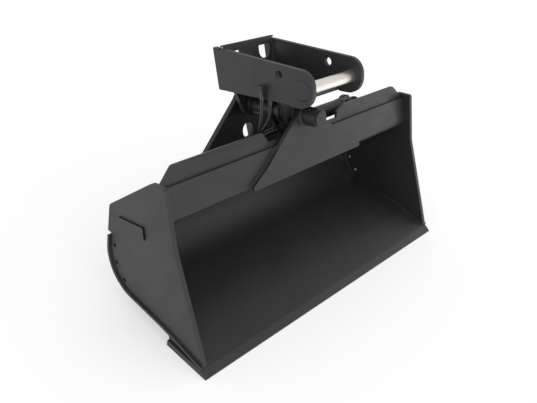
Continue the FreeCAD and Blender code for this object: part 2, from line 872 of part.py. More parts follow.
def build_head():
    inner = "head_wide / 2 - head_plate"
    lean = "(head_rear_high - head_rear_low) / (head_high - head_low)"
    side = [
        ("-head_nose", "head_nose_low", "head_nose_radius"),
        ("head_lobe_back", "head_nose_low", "head_lobe_radius"),
        ("head_lobe_back + head_lobe_rise", "head_low", "head_lobe_radius"),
        ("head_rear_low", "head_low", "head_corner"),
        ("head_rear_high", "head_high", "head_corner"),
        ("-head_nose", "head_nose_high", "head_nose_radius"),
    ]
    notch_top = "head_rear_high - wall_inset"
    notch_low = "head_rear_low - wall_inset"

    def notches(sketch):
        for centre, edge in ((notch_top, "head_high - notch_drop"), (notch_low, "head_low")):
            outline(sketch, [
                (f"{centre} - notch_wide / 2", f"{edge} - notch_deep"),
                (f"{centre} + notch_wide / 2", f"{edge} - notch_deep"),
                (f"{centre} + notch_wide / 2", f"{edge} + notch_deep"),
                (f"{centre} - notch_wide / 2", f"{edge} + notch_deep"),
            ])

    holes = [
        ("side_eye_back", "side_eye_up", "side_eye_radius"),
        ("shaft_back", "shaft_up", "shaft_radius"),
    ]
    for name, hand in (("head_side_plate_left", -1), ("head_side_plate_right", 1)):
        plate = padded(name, "YZ_Plane", "head_plate", side, holes=holes)
        pocketed(plate, "YZ_Plane", name + "_notches", notches)
        in_tilt(plate, side=f"{hand} * (head_wide / 2 - head_plate / 2)")
        keep(name, plate)

    base = padded("head_base_plate", "YZ_Plane", f"2 * ({inner})", [
        ("base_front", "head_low"),
        ("head_rear_low - wall_inset + wall_thick / 2", "head_low"),
        (f"head_rear_low - wall_inset + wall_thick / 2 + base_thick * {lean}", "head_low + base_thick"),
        ("base_front", "head_low + base_thick"),
    ])
    in_tilt(base)
    keep("head_base_plate", base)

    foot = "head_low + base_thick"
    crown = "head_high - wall_drop"

    def wall_at(up, offset):
        return f"head_rear_low - wall_inset + ({up} - head_low) * {lean} + ({offset})"

    wall = padded("head_rear_wall", "YZ_Plane", f"2 * ({inner})", [
        (wall_at(foot, "-wall_thick / 2"), foot),
        (wall_at(foot, "wall_thick / 2"), foot),
        (wall_at(crown, "wall_thick / 2"), crown),
        (wall_at(crown, "-wall_thick / 2"), crown),
    ])

    def lock_holes(sketch):
        for hand in (-1, 1):
            centre = f"{hand} * lock_hole_space / 2"
            low_round = ("lock_hole_up - lock_hole_radius", "lock_hole_radius * crown_share")
            outline(sketch, [
                (f"{centre} - lock_hole_radius",) + low_round,
                (f"{centre} + lock_hole_radius",) + low_round,
                (f"{centre} + lock_hole_radius", "lock_hole_up + lock_hole_flat", "lock_hole_corner"),
                (f"{centre} - lock_hole_radius", "lock_hole_up + lock_hole_flat", "lock_hole_corner"),
            ])

    pocketed(wall, "XZ_Plane", "locking_holes", lock_holes)
    in_tilt(wall)
    keep("head_rear_wall", wall)

    shaft = turned("coupler_shaft", [
        ("-head_wide / 2", "0"),
        ("-head_wide / 2", "shaft_radius"),
        ("head_wide / 2", "shaft_radius"),
        ("head_wide / 2", "0"),
    ])
    in_tilt(shaft, along="shaft_back", up="shaft_up")
    keep("coupler_shaft", shaft)

    rings = []
    for hand in (-1, 1):
        ring = turned(f"shaft_ring_{'left' if hand < 0 else 'right'}", [
            (f"{hand} * head_wide / 2", "0"),
            (f"{hand} * head_wide / 2", "shaft_ring_radius"),
            (f"{hand} * (head_wide / 2 + shaft_ring_thick - edge_break)", "shaft_ring_radius"),
            (f"{hand} * (head_wide / 2 + shaft_ring_thick)", "shaft_ring_radius - edge_break"),
            (f"{hand} * (head_wide / 2 + shaft_ring_thick)", "0"),
        ])
        in_tilt(ring, along="shaft_back", up="shaft_up")
        rings.append(ring)
    keep("shaft_end_rings", fused("shaft_ring_pair", rings))


def build_hub():
    hub = turned("hub_tube", [
        ("0", "bush_radius"),
        ("0", "hub_radius"),
        ("hub_long", "hub_radius"),
        ("hub_long", "bush_radius"),
    ], about_x=False)
    in_tilt(hub, along=HUB_START)
    keep("hub_tube", hub)

    for name, start in (("front_pivot_bush", HUB_START), ("rear_pivot_bush", f"{HUB_END} - bush_long")):
        bush = turned(name, [
            ("0", "pivot_radius + running_gap"),
            ("0", "bush_radius"),
            ("bush_long", "bush_radius"),
            ("bush_long", "pivot_radius + running_gap"),
        ], about_x=False)
        in_tilt(bush, along=start)
        keep(name, bush)

    for name, start in (("head_front_lug", "front_lug_back"), ("head_rear_lug", "rear_lug_back")):
        lug = padded(name, "XZ_Plane", "lug_thick", [
            ("-lug_half", "head_low"),
            ("-lug_half", "head_low - lug_edge"),
            ("-lug_round", "-lug_deep", "lug_corner"),
            ("lug_round", "-lug_deep", "lug_corner"),
            ("lug_half", "head_low - lug_edge"),
            ("lug_half", "head_low"),
        ], holes=[("0", "0", "hub_radius")])
        in_tilt(lug, along=f"{start} + lug_thick / 2")
        keep(name, lug)

    web = padded("hub_web", "YZ_Plane", "web_thick", [
        ("front_lug_back + lug_thick", "hub_radius / 2"),
        ("rear_lug_back", "hub_radius / 2"),
        ("rear_lug_back", "head_low"),
        ("front_lug_back + lug_thick", "head_low"),
    ])
    in_tilt(web)
    seat = rod("hub_web_seat", "hub_radius", "hub_long")
    in_tilt(seat, along=HUB_START, turn="-90 deg")
    span = "(eye_wide + 2 * eye_gap + 2 * lever_thick)"
    notch = rod("hub_web_notch", "lever_hub_round", span)
    in_tilt(notch, along=f"cylinder_back - {span} / 2", turn="-90 deg")
    keep("hub_web", cut("hub_web", cut("hub_web_seated", web, seat), notch))


def build_lever():
    """Two lever plates hang from the hub and carry the pin of the cylinder's rod eye."""
    rounds = (("0", "0", "lever_hub_round"), ("lever_side", "-lever_down", "lever_round"))
    holes = [("0", "0", "hub_radius"), ("lever_side", "-lever_down", "lever_pin_radius")]
    middle = "(eye_wide / 2 + eye_gap + lever_thick / 2)"
    pins = []
    for name, hand in (("lever_plate_front", -1), ("lever_plate_rear", 1)):
        plate = padded(name, "XZ_Plane", "lever_thick", rounds=rounds, holes=holes)
        in_tilt(plate, along=f"cylinder_back + {hand} * {middle}")
        keep(name, plate)
        inner = f"{hand} * (eye_wide / 2 + eye_gap)"
        outer = f"{hand} * (eye_wide / 2 + eye_gap + lever_thick)"
        head = f"{hand} * (eye_wide / 2 + eye_gap + lever_thick + pin_head_thick)"
        pin = turned(f"lever_pin_{'front' if hand < 0 else 'rear'}", [
            (inner, "0"),
            (inner, "lever_pin_radius"),
            (outer, "lever_pin_radius"),
            (outer, "pin_head_radius"),
            (head, "pin_head_radius"),
            (head, "0"),
        ], about_x=False)
        in_tilt(pin, side="lever_side", along="cylinder_back", up="-lever_down")
        pins.append(pin)
    keep("lever_pin", fused("lever_pin_ends", pins))


# tilt cylinder

def build_cylinder():
    up = "-lever_down"
    tube = turned("cylinder_tube", [
        ("gland_start + gland_collar", "tube_bore"),
        ("gland_start + gland_collar", "tube_radius"),
        ("tube_end", "tube_radius"),
        ("tube_end", "tube_bore"),
    ])
    in_tilt(tube, along="cylinder_back", up=up)
    keep("cylinder_tube", tube)

    gland = turned("cylinder_gland", [
        ("gland_start", "rod_radius + wiper_gap"),
        ("gland_start", "gland_radius - edge_break"),
        ("gland_start + edge_break", "gland_radius"),
        ("gland_start + gland_collar", "gland_radius"),
        ("gland_start + gland_collar", "tube_bore"),
        ("gland_start + gland_long", "tube_bore"),
        ("gland_start + gland_long", "rod_radius + running_gap"),
        ("gland_start + wiper_deep", "rod_radius + running_gap"),
    ])
    in_tilt(gland, along="cylinder_back", up=up)
    keep("cylinder_gland", gland)

    base_reach = "base_side - tube_end"
    cap = turned("cylinder_cap", [
        ("tube_end - base_plug", "0"),
        ("tube_end - base_plug", "tube_bore"),
        ("tube_end", "tube_bore"),
        ("tube_end", "tube_radius"),
        ("tube_end + base_cap - cap_bevel", "tube_radius"),
        ("tube_end + base_cap", "tube_radius - cap_bevel"),
        ("tube_end + base_cap", "0"),
    ])
    in_tilt(cap, along="cylinder_back", up=up)
    eye = padded("cylinder_base_eye", "XZ_Plane", "base_eye_wide", rounds=(
        (f"-({base_reach}) + base_cap + base_neck", "0", "eye_radius - cap_bevel"),
        ("0", "0", "eye_radius"),
    ), holes=[("0", "0", "eye_bush_radius")])
    in_tilt(eye, side="base_side", along="cylinder_back", up=up)
    keep("cylinder_base", fused("cylinder_base_weld", [cap, eye]))

    for name, side, wide in (
        ("base_eye_bush", "base_side", "base_eye_wide"),
        ("rod_eye_bush", "lever_side", "eye_wide"),
    ):
        bush = turned(name, [
            (f"-{wide} / 2", "lever_pin_radius + running_gap"),
            (f"-{wide} / 2", "eye_bush_radius"),
            (f"{wide} / 2", "eye_bush_radius"),
            (f"{wide} / 2", "lever_pin_radius + running_gap"),
        ], about_x=False)
        in_tilt(bush, side=side, along="cylinder_back", up=up)
        keep(name, bush)

    piston = turned("piston_rod", [
        ("lever_side + neck_long", "0"),
        ("lever_side + neck_long", "rod_radius - edge_break"),
        ("lever_side + neck_long + edge_break", "rod_radius"),
        ("piston_reach", "rod_radius"),
        ("piston_reach", "tube_bore - running_gap"),
        ("piston_reach + piston_long", "tube_bore - running_gap"),
        ("piston_reach + piston_long", "0"),
    ])
    in_tilt(piston, along="cylinder_back", up=up)
    keep("piston_rod", piston)

    rod_eye = padded("rod_eye", "XZ_Plane", "eye_wide", rounds=(
        ("0", "0", "eye_radius"),
        ("neck_long - neck_high / 2 + neck_overrun", "0", "neck_high / 2"),
    ), holes=[("0", "0", "eye_bush_radius")])
    pocketed(rod_eye, "XZ_Plane", "rod_eye_face", lambda sketch: outline(sketch, [
        ("neck_long", "-neck_high"),
        ("neck_long + tool_past", "-neck_high"),
        ("neck_long + tool_past", "neck_high"),
        ("neck_long", "neck_high"),
    ]))
    in_tilt(rod_eye, side="lever_side", along="cylinder_back", up=up)
    keep("rod_eye", rod_eye)


def build_bracket():
    """Two bracket plates on the rear panel hold the cylinder's base pin."""
    offset = "(base_eye_wide / 2 + bracket_gap + bracket_thick / 2)"
    plates = []
    for hand in (-1, 1):
        plate = padded(f"bracket_{'front' if hand < 0 else 'rear'}", "XZ_Plane", "bracket_thick", [
            ("-bracket_foot", "-bracket_drop"),
            ("bracket_foot", "-bracket_drop"),
            ("bracket_foot", "-bracket_shoulder", "bracket_corner"),
            ("bracket_round", "bracket_round", "bracket_round * crown_share"),
            ("-bracket_round", "bracket_round", "bracket_round * crown_share"),
            ("-bracket_foot", "-bracket_shoulder", "bracket_corner"),
        ], holes=[("0", "0", "lever_pin_radius")])
        in_tilt(plate, side="base_side", along=f"cylinder_back + {hand} * {offset}", up="-lever_down")
        plates.append(plate)
    both = fused("bracket_pair", plates)
    keep("cylinder_bracket", cut("cylinder_bracket", both, core_tool("bracket_core")))

    reach = "base_eye_wide / 2 + bracket_gap + bracket_thick"
    pin = turned("base_pin", [
        (f"-({reach}) - pin_head_thick", "0"),
        (f"-({reach}) - pin_head_thick", "pin_head_radius"),
        (f"-({reach})", "pin_head_radius"),
        (f"-({reach})", "lever_pin_radius"),
        (f"{reach}", "lever_pin_radius"),
        (f"{reach}", "pin_head_radius"),
        (f"{reach} + pin_head_thick", "pin_head_radius"),
        (f"{reach} + pin_head_thick", "0"),
    ], about_x=False)
    in_tilt(pin, side="base_side", along="cylinder_back", up="-lever_down")
    keep("base_pin", pin)


# hydraulic lines

def fitting(name, along_x, sign="1"):
    """A hose end: a nut at its own origin, then the ferrule that the hose comes out of."""
    return turned(name, [
        ("0", "0"),
        ("0", "nut_radius"),
        (f"{sign} * nut_long", "nut_radius"),
        (f"{sign} * nut_long", "ferrule_radius"),
        (f"{sign} * fitting_long", "ferrule_radius"),
        (f"{sign} * fitting_long", "0"),
    ], about_x=along_x)


def build_valve():
    """The relief valve block of the tilt circuit stands on the sloping panel."""
    middle = "(valve_left + valve_right) / 2"
    block = padded("valve_blank", "XZ_Plane", "line_pitch + 2 * valve_margin", [
        ("valve_left", "-valve_top - valve_drop"),
        ("valve_right", "-valve_top - valve_drop"),
        ("valve_right", "-valve_top", "valve_corner"),
        ("valve_left", "-valve_top", "valve_corner"),
    ])
    in_tilt(block, along="line_back + line_pitch / 2")
    keep("relief_valve_block", cut("relief_valve_block", block, core_tool("valve_core")))

    cartridges = []
    for hand in (-1, 1):
        cartridge = turned(f"cartridge_{'left' if hand < 0 else 'right'}", [
            ("0", "0"),
            ("0", "cartridge_radius"),
            ("cartridge_step", "cartridge_radius"),
            ("cartridge_step", "cartridge_tip_radius"),
            ("cartridge_high", "cartridge_tip_radius"),
            ("cartridge_high", "0"),
        ], about_x=False)
        in_tilt(
            cartridge,
            side=f"{middle} + {hand} * cartridge_pitch / 2",
            along="line_back + line_pitch / 2",
            up="-valve_top",
            turn="90 deg",
        )
        cartridges.append(cartridge)
    keep("relief_cartridges", fused("cartridge_pair", cartridges))

    ends = []
    for number in range(2):
        for face, sign in (("left", "-1"), ("right", "1")):
            end = fitting(f"valve_end_{face}_{number}", True, sign)
            in_tilt(end, side=f"valve_{face}", along=f"line_back + {number} * line_pitch", up="-line_down")
            ends.append(end)
    keep("valve_hose_ends", fused("valve_end_group", ends))


def build_ports():
    """A port boss with an elbow at each end of the cylinder's tube, turned to the hoses."""
    bore = turned("tube_space", [
        ("gland_start", "0"),
        ("gland_start", "tube_radius"),
        ("tube_end", "tube_radius"),
        ("tube_end", "0"),
    ])
    in_tilt(bore, along="cylinder_back", up="-lever_down")
    ends = []
    for name, side, back in (
        ("front", "front_port_side", "line_back"),
        ("rear", "rear_port_side", "(line_back + line_pitch)"),
    ):
        reach = f"sqrt(({back} - cylinder_back) ^ 2 + (port_down - lever_down) ^ 2)"
        dip = f"-atan2(port_down - lever_down; {back} - cylinder_back)"
        boss = turned(f"{name}_port_boss", [
            ("tube_radius / 2", "0"),
            ("tube_radius / 2", "port_radius"),
            (f"{reach} - elbow_half", "port_radius"),
            (f"{reach} - elbow_half", "0"),
        ], about_x=False)
        in_tilt(boss, side=side, along="cylinder_back", up="-lever_down", turn=dip)
        elbow = padded(f"{name}_port_elbow", "YZ_Plane", "2 * elbow_half", [
            (f"{reach} - elbow_half", "-elbow_half"),
            (f"{reach} + elbow_half", "-elbow_half", "elbow_corner"),
            (f"{reach} + elbow_half", "elbow_half", "elbow_corner"),
            (f"{reach} - elbow_half", "elbow_half"),
        ])
        in_tilt(elbow, side=side, along="cylinder_back", up="-lever_down", turn=dip)
        whole = fused(f"{name}_port_whole", [boss, elbow])
        keep(f"{name}_port", cut(f"{name}_port", whole, bore))
        end = fitting(f"cylinder_end_{name}", True, "-1")
        in_tilt(end, side=f"{side} - elbow_half", along=back, up="-port_down")
        ends.append(end)
    keep("cylinder_hose_ends", fused("cylinder_end_group", ends))


def build_head_lines():
    """Where the two supply lines leave the head: beside its left plate and under its base plate."""
    out = "head_wide / 2 + side_line_out"
    block = padded("side_line_block", "XZ_Plane", "2 * side_block_half", [
        (f"-({out}) - side_line_out", "side_line_end + fitting_long"),
        ("-head_wide / 2", "side_line_end + fitting_long"),
        ("-head_wide / 2", "side_line_top"),
        (f"-({out}) - side_line_out", "side_line_top", "side_block_corner"),
    ])
    in_tilt(block, along="side_line_back")
    keep("side_line_block", block)

    side_end = fitting("side_line_end", False)
    block_low = "side_line_end + fitting_long"
    in_tilt(side_end, side=f"-({out})", along="side_line_back", up=block_low, turn="-90 deg")
    base_end = fitting("base_line_end", False)
    in_tilt(base_end, side="-base_line_side", along="base_line_back", up="head_low", turn="-90 deg")
    keep("head_hose_ends", fused("head_end_pair", [side_end, base_end]))

    base_coupling = turned("base_coupling", [
        ("0", "0"),
        ("0", "coupling_radius"),
        ("coupling_long", "coupling_radius"),
        ("coupling_long", "0"),
    ], about_x=False)
    in_tilt(
        base_coupling,
        side="-base_coupling_side",
        along="base_line_back",
        up="head_low + base_thick",
        turn="90 deg",
    )
    side_coupling = turned("side_coupling", [
        ("-head_wide / 2 + head_plate", "0"),
        ("-head_wide / 2 + head_plate", "coupling_radius"),
        ("-head_wide / 2 + head_plate + coupling_long", "coupling_radius"),
        ("-head_wide / 2 + head_plate + coupling_long", "0"),
    ])
    in_tilt(side_coupling, along="side_coupling_back", up="side_coupling_up")
    keep("supply_couplings", fused("coupling_pair", [base_coupling, side_coupling]))


def tilt_point(side, along, up):
    """A point given in the tilt frame."""
    back = size(f"{AXIS_Y} + ({along}) * cos(axis_slope) + ({up}) * sin(axis_slope)")
    high = size(f"{PIVOT_UP} - ({along}) * sin(axis_slope) + ({up}) * cos(axis_slope)")
    return FreeCAD.Vector(size(side), back, high)


def hose(name, route):
    """A hose along straight runs joined by arcs as large as the runs allow."""
    points = [tilt_point(*place_text) for place_text in route]
    radius = size("hose_radius")
    edges = []
    start = points[0]
    for before, corner, after in zip(points, points[1:], points[2:]):
        back_way = (before - corner).normalize()
        onward = (after - corner).normalize()
        half_turn = (math.pi - back_way.getAngle(onward)) / 2
        leg = 0.45 * min((before - corner).Length, (after - corner).Length)
        bend = leg / math.tan(half_turn)
        middle_way = (back_way + onward).normalize()
        middle = corner + middle_way * (bend / math.cos(half_turn) - bend)
        edges.append(Part.makeLine(start, corner + back_way * leg))
        edges.append(Part.Arc(corner + back_way * leg, middle, corner + onward * leg).toShape())
        start = corner + onward * leg
        print(f"{name}: bend radius {bend:.0f}")
    edges.append(Part.makeLine(start, points[-1]))
    path = Part.Wire(edges)
    section = Part.Wire(Part.makeCircle(radius, points[0], points[1] - points[0]))
    solid = path.makePipeShell([section], True, False)
    share = solid.Volume / (math.pi * radius ** 2 * path.Length)
    print(f"{name}: length {path.Length:.0f}, volume {share:.4f} of section times length")
    thing = doc.addObject("Part::Feature", name)
    thing.Shape = solid
    keep(name, thing)


def build_hoses():
    valve_start = "valve_left - fitting_long"
    valve_finish = "valve_right + fitting_long"
    second_line = "line_back + line_pitch"
    side_out = "-(head_wide / 2 + side_line_out)"
    hose("supply_hose_side", [
        (side_out, "side_line_back", "side_line_end"),
        (side_out, "side_line_back", "20"),
        ("-160", "168", "-50"),
        ("-119", "211", "-103"),
        ("-62", "line_back", "-line_down"),
        (valve_start, "line_back", "-line_down"),
    ])
    hose("supply_hose_base", [
        ("-base_line_side", "base_line_back", "base_line_end"),
        ("-base_line_side", "base_line_back", "5"),
        ("-129", "180", "-48"),
        ("-118", "242", "-95"),
        ("-62", second_line, "-line_down"),
        (valve_start, second_line, "-line_down"),
    ])
    for name, back in (("front", "line_back"), ("rear", second_line)):
        port_start = f"{name}_port_side - elbow_half - fitting_long"
        third = f"({port_start} - ({valve_finish})) / 3"
        hose(f"cylinder_hose_{name}", [
            (valve_finish, back, "-line_down"),
            (f"{valve_finish} + {third}", back, "-line_down"),
            (f"{port_start} - {third}", back, "-port_down"),
            (port_start, back, "-port_down"),
        ])


build_blade()
build_shell()
build_beam()
build_sides()
runners = fused("runner_group", build_runners())
keep("wear_runners", cut("wear_runners", runners, core_tool("runner_core")))
build_front_ear()
build_rear_ear()
build_pivot()
build_head()
build_hub()
build_lever()
build_cylinder()
build_bracket()
build_valve()
build_ports()
build_head_lines()
build_hoses()

doc.recompute()
for item in doc.Objects:
    if "Invalid" in item.State or "Error" in item.State:
        raise RuntimeError(f"{item.Label} failed: {item.State}")
for name, item in nodes.items():
    shape = item.Shape
    if shape.isNull() or not shape.isValid() or not shape.Solids:
        raise RuntimeError(f"{name} has no valid solid")
    shape.exportStep(f"parts/{name}.step")
    box = shape.BoundBox
    print(
        f"{name}: {len(shape.Solids)} solids, {shape.Volume / 1000:.1f} cm3, "
        f"x {box.XMin:.1f}..{box.XMax:.1f} y {box.YMin:.1f}..{box.YMax:.1f} z {box.ZMin:.1f}..{box.ZMax:.1f}"
    )
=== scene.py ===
"""Tilt ditching bucket: finishes, welds, fasteners and hoses on the solid pieces, in a plain studio.

The scene is in metres. Places on the part are written in millimetres, as (side, back, up), in two frames:
  bucket frame  side to the right, back from the tip of the blade, up from its underside
  tilt frame    side to the right, back along the pivot axis from its front end, up square to that axis
"""

import json
import math

import bmesh
import bpy
from mathutils import Matrix, Vector


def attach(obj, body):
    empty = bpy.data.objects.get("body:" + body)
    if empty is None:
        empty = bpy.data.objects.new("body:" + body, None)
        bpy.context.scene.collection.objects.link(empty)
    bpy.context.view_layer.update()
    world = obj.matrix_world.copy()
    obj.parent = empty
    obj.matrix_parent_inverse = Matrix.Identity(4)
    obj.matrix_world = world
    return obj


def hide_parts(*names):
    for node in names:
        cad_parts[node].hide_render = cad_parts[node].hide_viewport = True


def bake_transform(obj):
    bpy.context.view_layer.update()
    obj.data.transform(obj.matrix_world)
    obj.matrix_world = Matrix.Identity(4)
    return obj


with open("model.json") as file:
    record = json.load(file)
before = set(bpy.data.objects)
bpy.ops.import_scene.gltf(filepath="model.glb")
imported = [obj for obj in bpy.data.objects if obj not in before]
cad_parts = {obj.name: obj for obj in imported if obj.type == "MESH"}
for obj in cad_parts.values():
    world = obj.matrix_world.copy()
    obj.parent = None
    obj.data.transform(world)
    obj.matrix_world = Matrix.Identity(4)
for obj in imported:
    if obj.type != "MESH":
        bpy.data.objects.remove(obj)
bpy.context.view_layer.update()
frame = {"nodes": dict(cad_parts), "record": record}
scene = bpy.context.scene
scene.view_settings.view_transform = "Standard"

MM = 0.001

# camera

CAMERA_AT = Vector((-2.026, -1.1745, 1.903))
CAMERA_RIGHT = Vector((0.6785, -0.7172, 0.159))
CAMERA_FORWARD = Vector((0.6635, 0.5055, -0.5516))
CAMERA_LENS = 43.58

camera = bpy.data.objects.new("camera", bpy.data.cameras.new("camera"))
camera.data.lens = CAMERA_LENS
camera_up = CAMERA_RIGHT.cross(CAMERA_FORWARD).normalized()
camera.matrix_world = Matrix.Translation(CAMERA_AT) @ Matrix(
    (CAMERA_RIGHT, camera_up, -CAMERA_FORWARD)
).transposed().to_4x4()
scene.collection.objects.link(camera)
scene.camera = camera

# the two frames

HALF_BLADE = 112.5
PIVOT_BACK = 302
PIVOT_UP = 741
AXIS_SLOPE = math.radians(14.6)
SIDE = Vector((1, 0, 0))
BACK = Vector((0, 1, 0))
UP = Vector((0, 0, 1))
AXIS = Vector((0, math.cos(AXIS_SLOPE), -math.sin(AXIS_SLOPE)))
LIFT = Vector((0, math.sin(AXIS_SLOPE), math.cos(AXIS_SLOPE)))


def bucket_mm(side, back, up):
    return Vector((side, back - HALF_BLADE, up))


PIVOT = bucket_mm(0, PIVOT_BACK, PIVOT_UP)


def tilt_mm(side, back, up):
    return PIVOT + SIDE * side + AXIS * back + LIFT * up


def in_bucket(side, back, up):
    return bucket_mm(side, back, up) * MM


def in_tilt(side, back, up):
    return tilt_mm(side, back, up) * MM


# places on the bucket, in the bucket frame

CHEEK_INNER = 770
CHEEK_OUTER = 790
SHELL_THICK = 12
REAR_WALL = 624
SEAM_UP = 285
FOLD_UP = 410
PANEL_BACK = 365.3
PANEL_UP = 616
FLOOR = [(32, 25), (245, 60, 1500), (REAR_WALL, 78, 170), (REAR_WALL, SEAM_UP)]
PANEL_LINE = [(REAR_WALL, SEAM_UP), (REAR_WALL, FOLD_UP, 30), (PANEL_BACK, PANEL_UP)]
BEAM_LEAN = math.radians(21.9)
FACE_OUT = Vector((0, math.cos(BEAM_LEAN), -math.sin(BEAM_LEAN)))
FACE_UP = Vector((0, math.sin(BEAM_LEAN), math.cos(BEAM_LEAN)))
FACE_FOOT = bucket_mm(0, 305, 498)
EAR_THICK = 20
BOSS_RADIUS = 40

# places on the head, the lines and the cylinder, in the tilt frame

LINE_FRONT = 268
LINE_REAR = 294
VALVE_UP = -112
VALVE_TOP = -92
VALVE_LEFT = 40
VALVE_RIGHT = 84
PORT_UP = -118
PORT_FRONT = 230
PORT_REAR = 372
SIDE_LINE = (-178, 156)
SIDE_LINE_TOP = 122
BASE_LINE = (-133, 152)
LEVER_SIDE = 28
BASE_SIDE = 487
CYLINDER_BACK = 215
CYLINDER_UP = -75
HEAD_INNER = 145
HEAD_OUTER = 165
HEAD_FLOOR_TOP = 111
HEAD_FLOOR_UNDER = 91
SHAFT_BACK = -44
SHAFT_UP = 155
HOLE_SIDES = (-92, 92)
HOLE_UP = 222
HOLE_HALF = 34
HOLE_FLAT = 25

# materials

NOISE_LOW = 0.3
NOISE_HIGH = 0.7


def new_material(name):
    """A material with its shader and a texture coordinate node in metres."""
    material = bpy.data.materials.new(name)
    material.use_nodes = True
    nodes = material.node_tree.nodes
    return material, nodes["Principled BSDF"], nodes.new("ShaderNodeTexCoord")


def wire(material, output, target):
    material.node_tree.links.new(output, target)


def noise_of(material, coordinate, scale, detail, stretch=None):
    """A noise texture; stretch squeezes it along the axes, as streaks have it."""
    nodes = material.node_tree.nodes
    noise = nodes.new("ShaderNodeTexNoise")
    noise.inputs["Scale"].default_value = scale
    noise.inputs["Detail"].default_value = detail
    source = coordinate.outputs["Object"]
    if stretch:
        mapping = nodes.new("ShaderNodeMapping")
        mapping.inputs["Scale"].default_value = stretch
        wire(material, source, mapping.inputs["Vector"])
        source = mapping.outputs["Vector"]
    wire(material, source, noise.inputs["Vector"])
    return noise.outputs["Fac"]


def tone_of(material, shader, source, dark, light):
    """Spreads the middle of a noise from a dark tone to a light one."""
    ramp = material.node_tree.nodes.new("ShaderNodeValToRGB")
    for element, place, colour in zip(ramp.color_ramp.elements, (NOISE_LOW, NOISE_HIGH), (dark, light)):
        element.position = place
        element.color = (*colour, 1)
    wire(material, source, ramp.inputs["Fac"])
    wire(material, ramp.outputs["Color"], shader.inputs["Base Color"])


def gloss_of(material, shader, source, low, high):
    """Spreads the middle of a noise between two roughnesses."""
    spread = material.node_tree.nodes.new("ShaderNodeMapRange")
    spread.inputs["From Min"].default_value = NOISE_LOW
    spread.inputs["From Max"].default_value = NOISE_HIGH
    spread.inputs["To Min"].default_value = low
    spread.inputs["To Max"].default_value = high
    wire(material, source, spread.inputs["Value"])
    wire(material, spread.outputs["Result"], shader.inputs["Roughness"])


def bump_of(material, shader, source, distance, strength):
    bump = material.node_tree.nodes.new("ShaderNodeBump")
    bump.inputs["Distance"].default_value = distance
    bump.inputs["Strength"].default_value = strength
    wire(material, source, bump.inputs["Height"])
    wire(material, bump.outputs["Normal"], shader.inputs["Normal"])


DRIFT_SCALE = 3.0
GLOSS_SCALE = 11.0
PEEL_SCALE = 420.0
PEEL_DEPTH = 0.35 * MM
GRIND_DEPTH = 0.04 * MM
GRAIN_SCALE = 260.0
GRAIN_DEPTH = 0.4 * MM


def coated(name, dark, light, rough_low, rough_high):
    """Powder coat: orange peel, a slow drift of tone and of gloss."""
    material, shader, coordinate = new_material(name)
    drift = noise_of(material, coordinate, DRIFT_SCALE, detail=5.0)
    tone_of(material, shader, drift, dark, light)
    gloss = noise_of(material, coordinate, GLOSS_SCALE, detail=4.0)
    gloss_of(material, shader, gloss, rough_low, rough_high)
    peel = noise_of(material, coordinate, PEEL_SCALE, detail=2.0)
    bump_of(material, shader, peel, PEEL_DEPTH, strength=0.35)
    return material


def metal(name, colour, rough_low, rough_high, stretch, scale):
    """Bare metal with fine turning or grinding lines."""
    material, shader, coordinate = new_material(name)
    shader.inputs["Metallic"].default_value = 1.0
    shader.inputs["Base Color"].default_value = (*colour, 1)
    lines = noise_of(material, coordinate, scale, detail=2.0, stretch=stretch)
    gloss_of(material, shader, lines, rough_low, rough_high)
    bump_of(material, shader, lines, GRIND_DEPTH, strength=0.5)
    return material


def rubber(name, colour, rough_low, rough_high):
    """Moulded rubber with a fine cloth-like grain."""
    material, shader, coordinate = new_material(name)
    shader.inputs["Base Color"].default_value = (*colour, 1)
    grain = noise_of(material, coordinate, GRAIN_SCALE, detail=4.0)
    gloss_of(material, shader, grain, rough_low, rough_high)
    bump_of(material, shader, grain, GRAIN_DEPTH, strength=0.3)
    return material


PAINT = coated("satin_black_powder_coat", (0.030, 0.030, 0.0304), (0.038, 0.038, 0.0385), 0.44, 0.54)
SHAFT = metal("bright_ground_shaft", (0.94, 0.91, 0.86), 0.30, 0.36, stretch=(30, 1, 1), scale=12.0)
PLATED = metal("dark_plated_steel", (0.11, 0.11, 0.11), 0.34, 0.48, stretch=(1, 1, 1), scale=300.0)
BRONZE = metal("bearing_bronze", (0.52, 0.33, 0.14), 0.28, 0.42, stretch=(1, 20, 1), scale=60.0)
RUBBER = rubber("hose_rubber", (0.024, 0.024, 0.024), 0.30, 0.46)
# gloss black badge: its near-black tone is painted shade, so the badge's edges show as a dark outline; under
# its gloss the face renders about as light as the side plate
BADGE_EDGE_SHADE = coated("black_badge_painted_edge_shade", (0.006, 0.006, 0.006), (0.008, 0.008, 0.008), 0.30, 0.40)

SLOT_MATERIALS = {
    "paint": PAINT,
    "bright_shaft": SHAFT,
    "plated_steel": PLATED,
    "bronze": BRONZE,
    "hose_rubber": RUBBER,
}

# hoses

HOSE_DIAMETER = 14 * MM
NURBS_STEPS = 12
ROUND_STEPS = 5


def hose(name, route):
    """A pressure hose: its line is one NURBS spline through the route, its skin the tube about it."""
    line = bpy.data.curves.new(name + "_line", "CURVE")
    line.dimensions = "3D"
    line.resolution_u = NURBS_STEPS
    spline = line.splines.new("NURBS")
    spline.points.add(len(route) - 1)
    for knot, place in zip(spline.points, route):
        knot.co = (*in_tilt(*place), 1)
    spline.order_u = 3
    spline.use_endpoint_u = True
    holder = bpy.data.objects.new(name + "_line", line)
    scene.collection.objects.link(holder)
    bare = bpy.data.meshes.new_from_object(holder)
    line.bevel_depth = HOSE_DIAMETER / 2
    line.bevel_resolution = ROUND_STEPS
    bpy.context.view_layer.update()
    skin = bpy.data.meshes.new_from_object(holder)
    bpy.data.objects.remove(holder)
    bpy.data.meshes.remove(bare)
    tube = bpy.data.objects.new(name + "_tube", skin)
    scene.collection.objects.link(tube)
    skin.materials.clear()
    skin.materials.append(RUBBER)
    for face in skin.polygons:
        face.use_smooth = True
    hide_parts(name)
    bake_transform(tube)


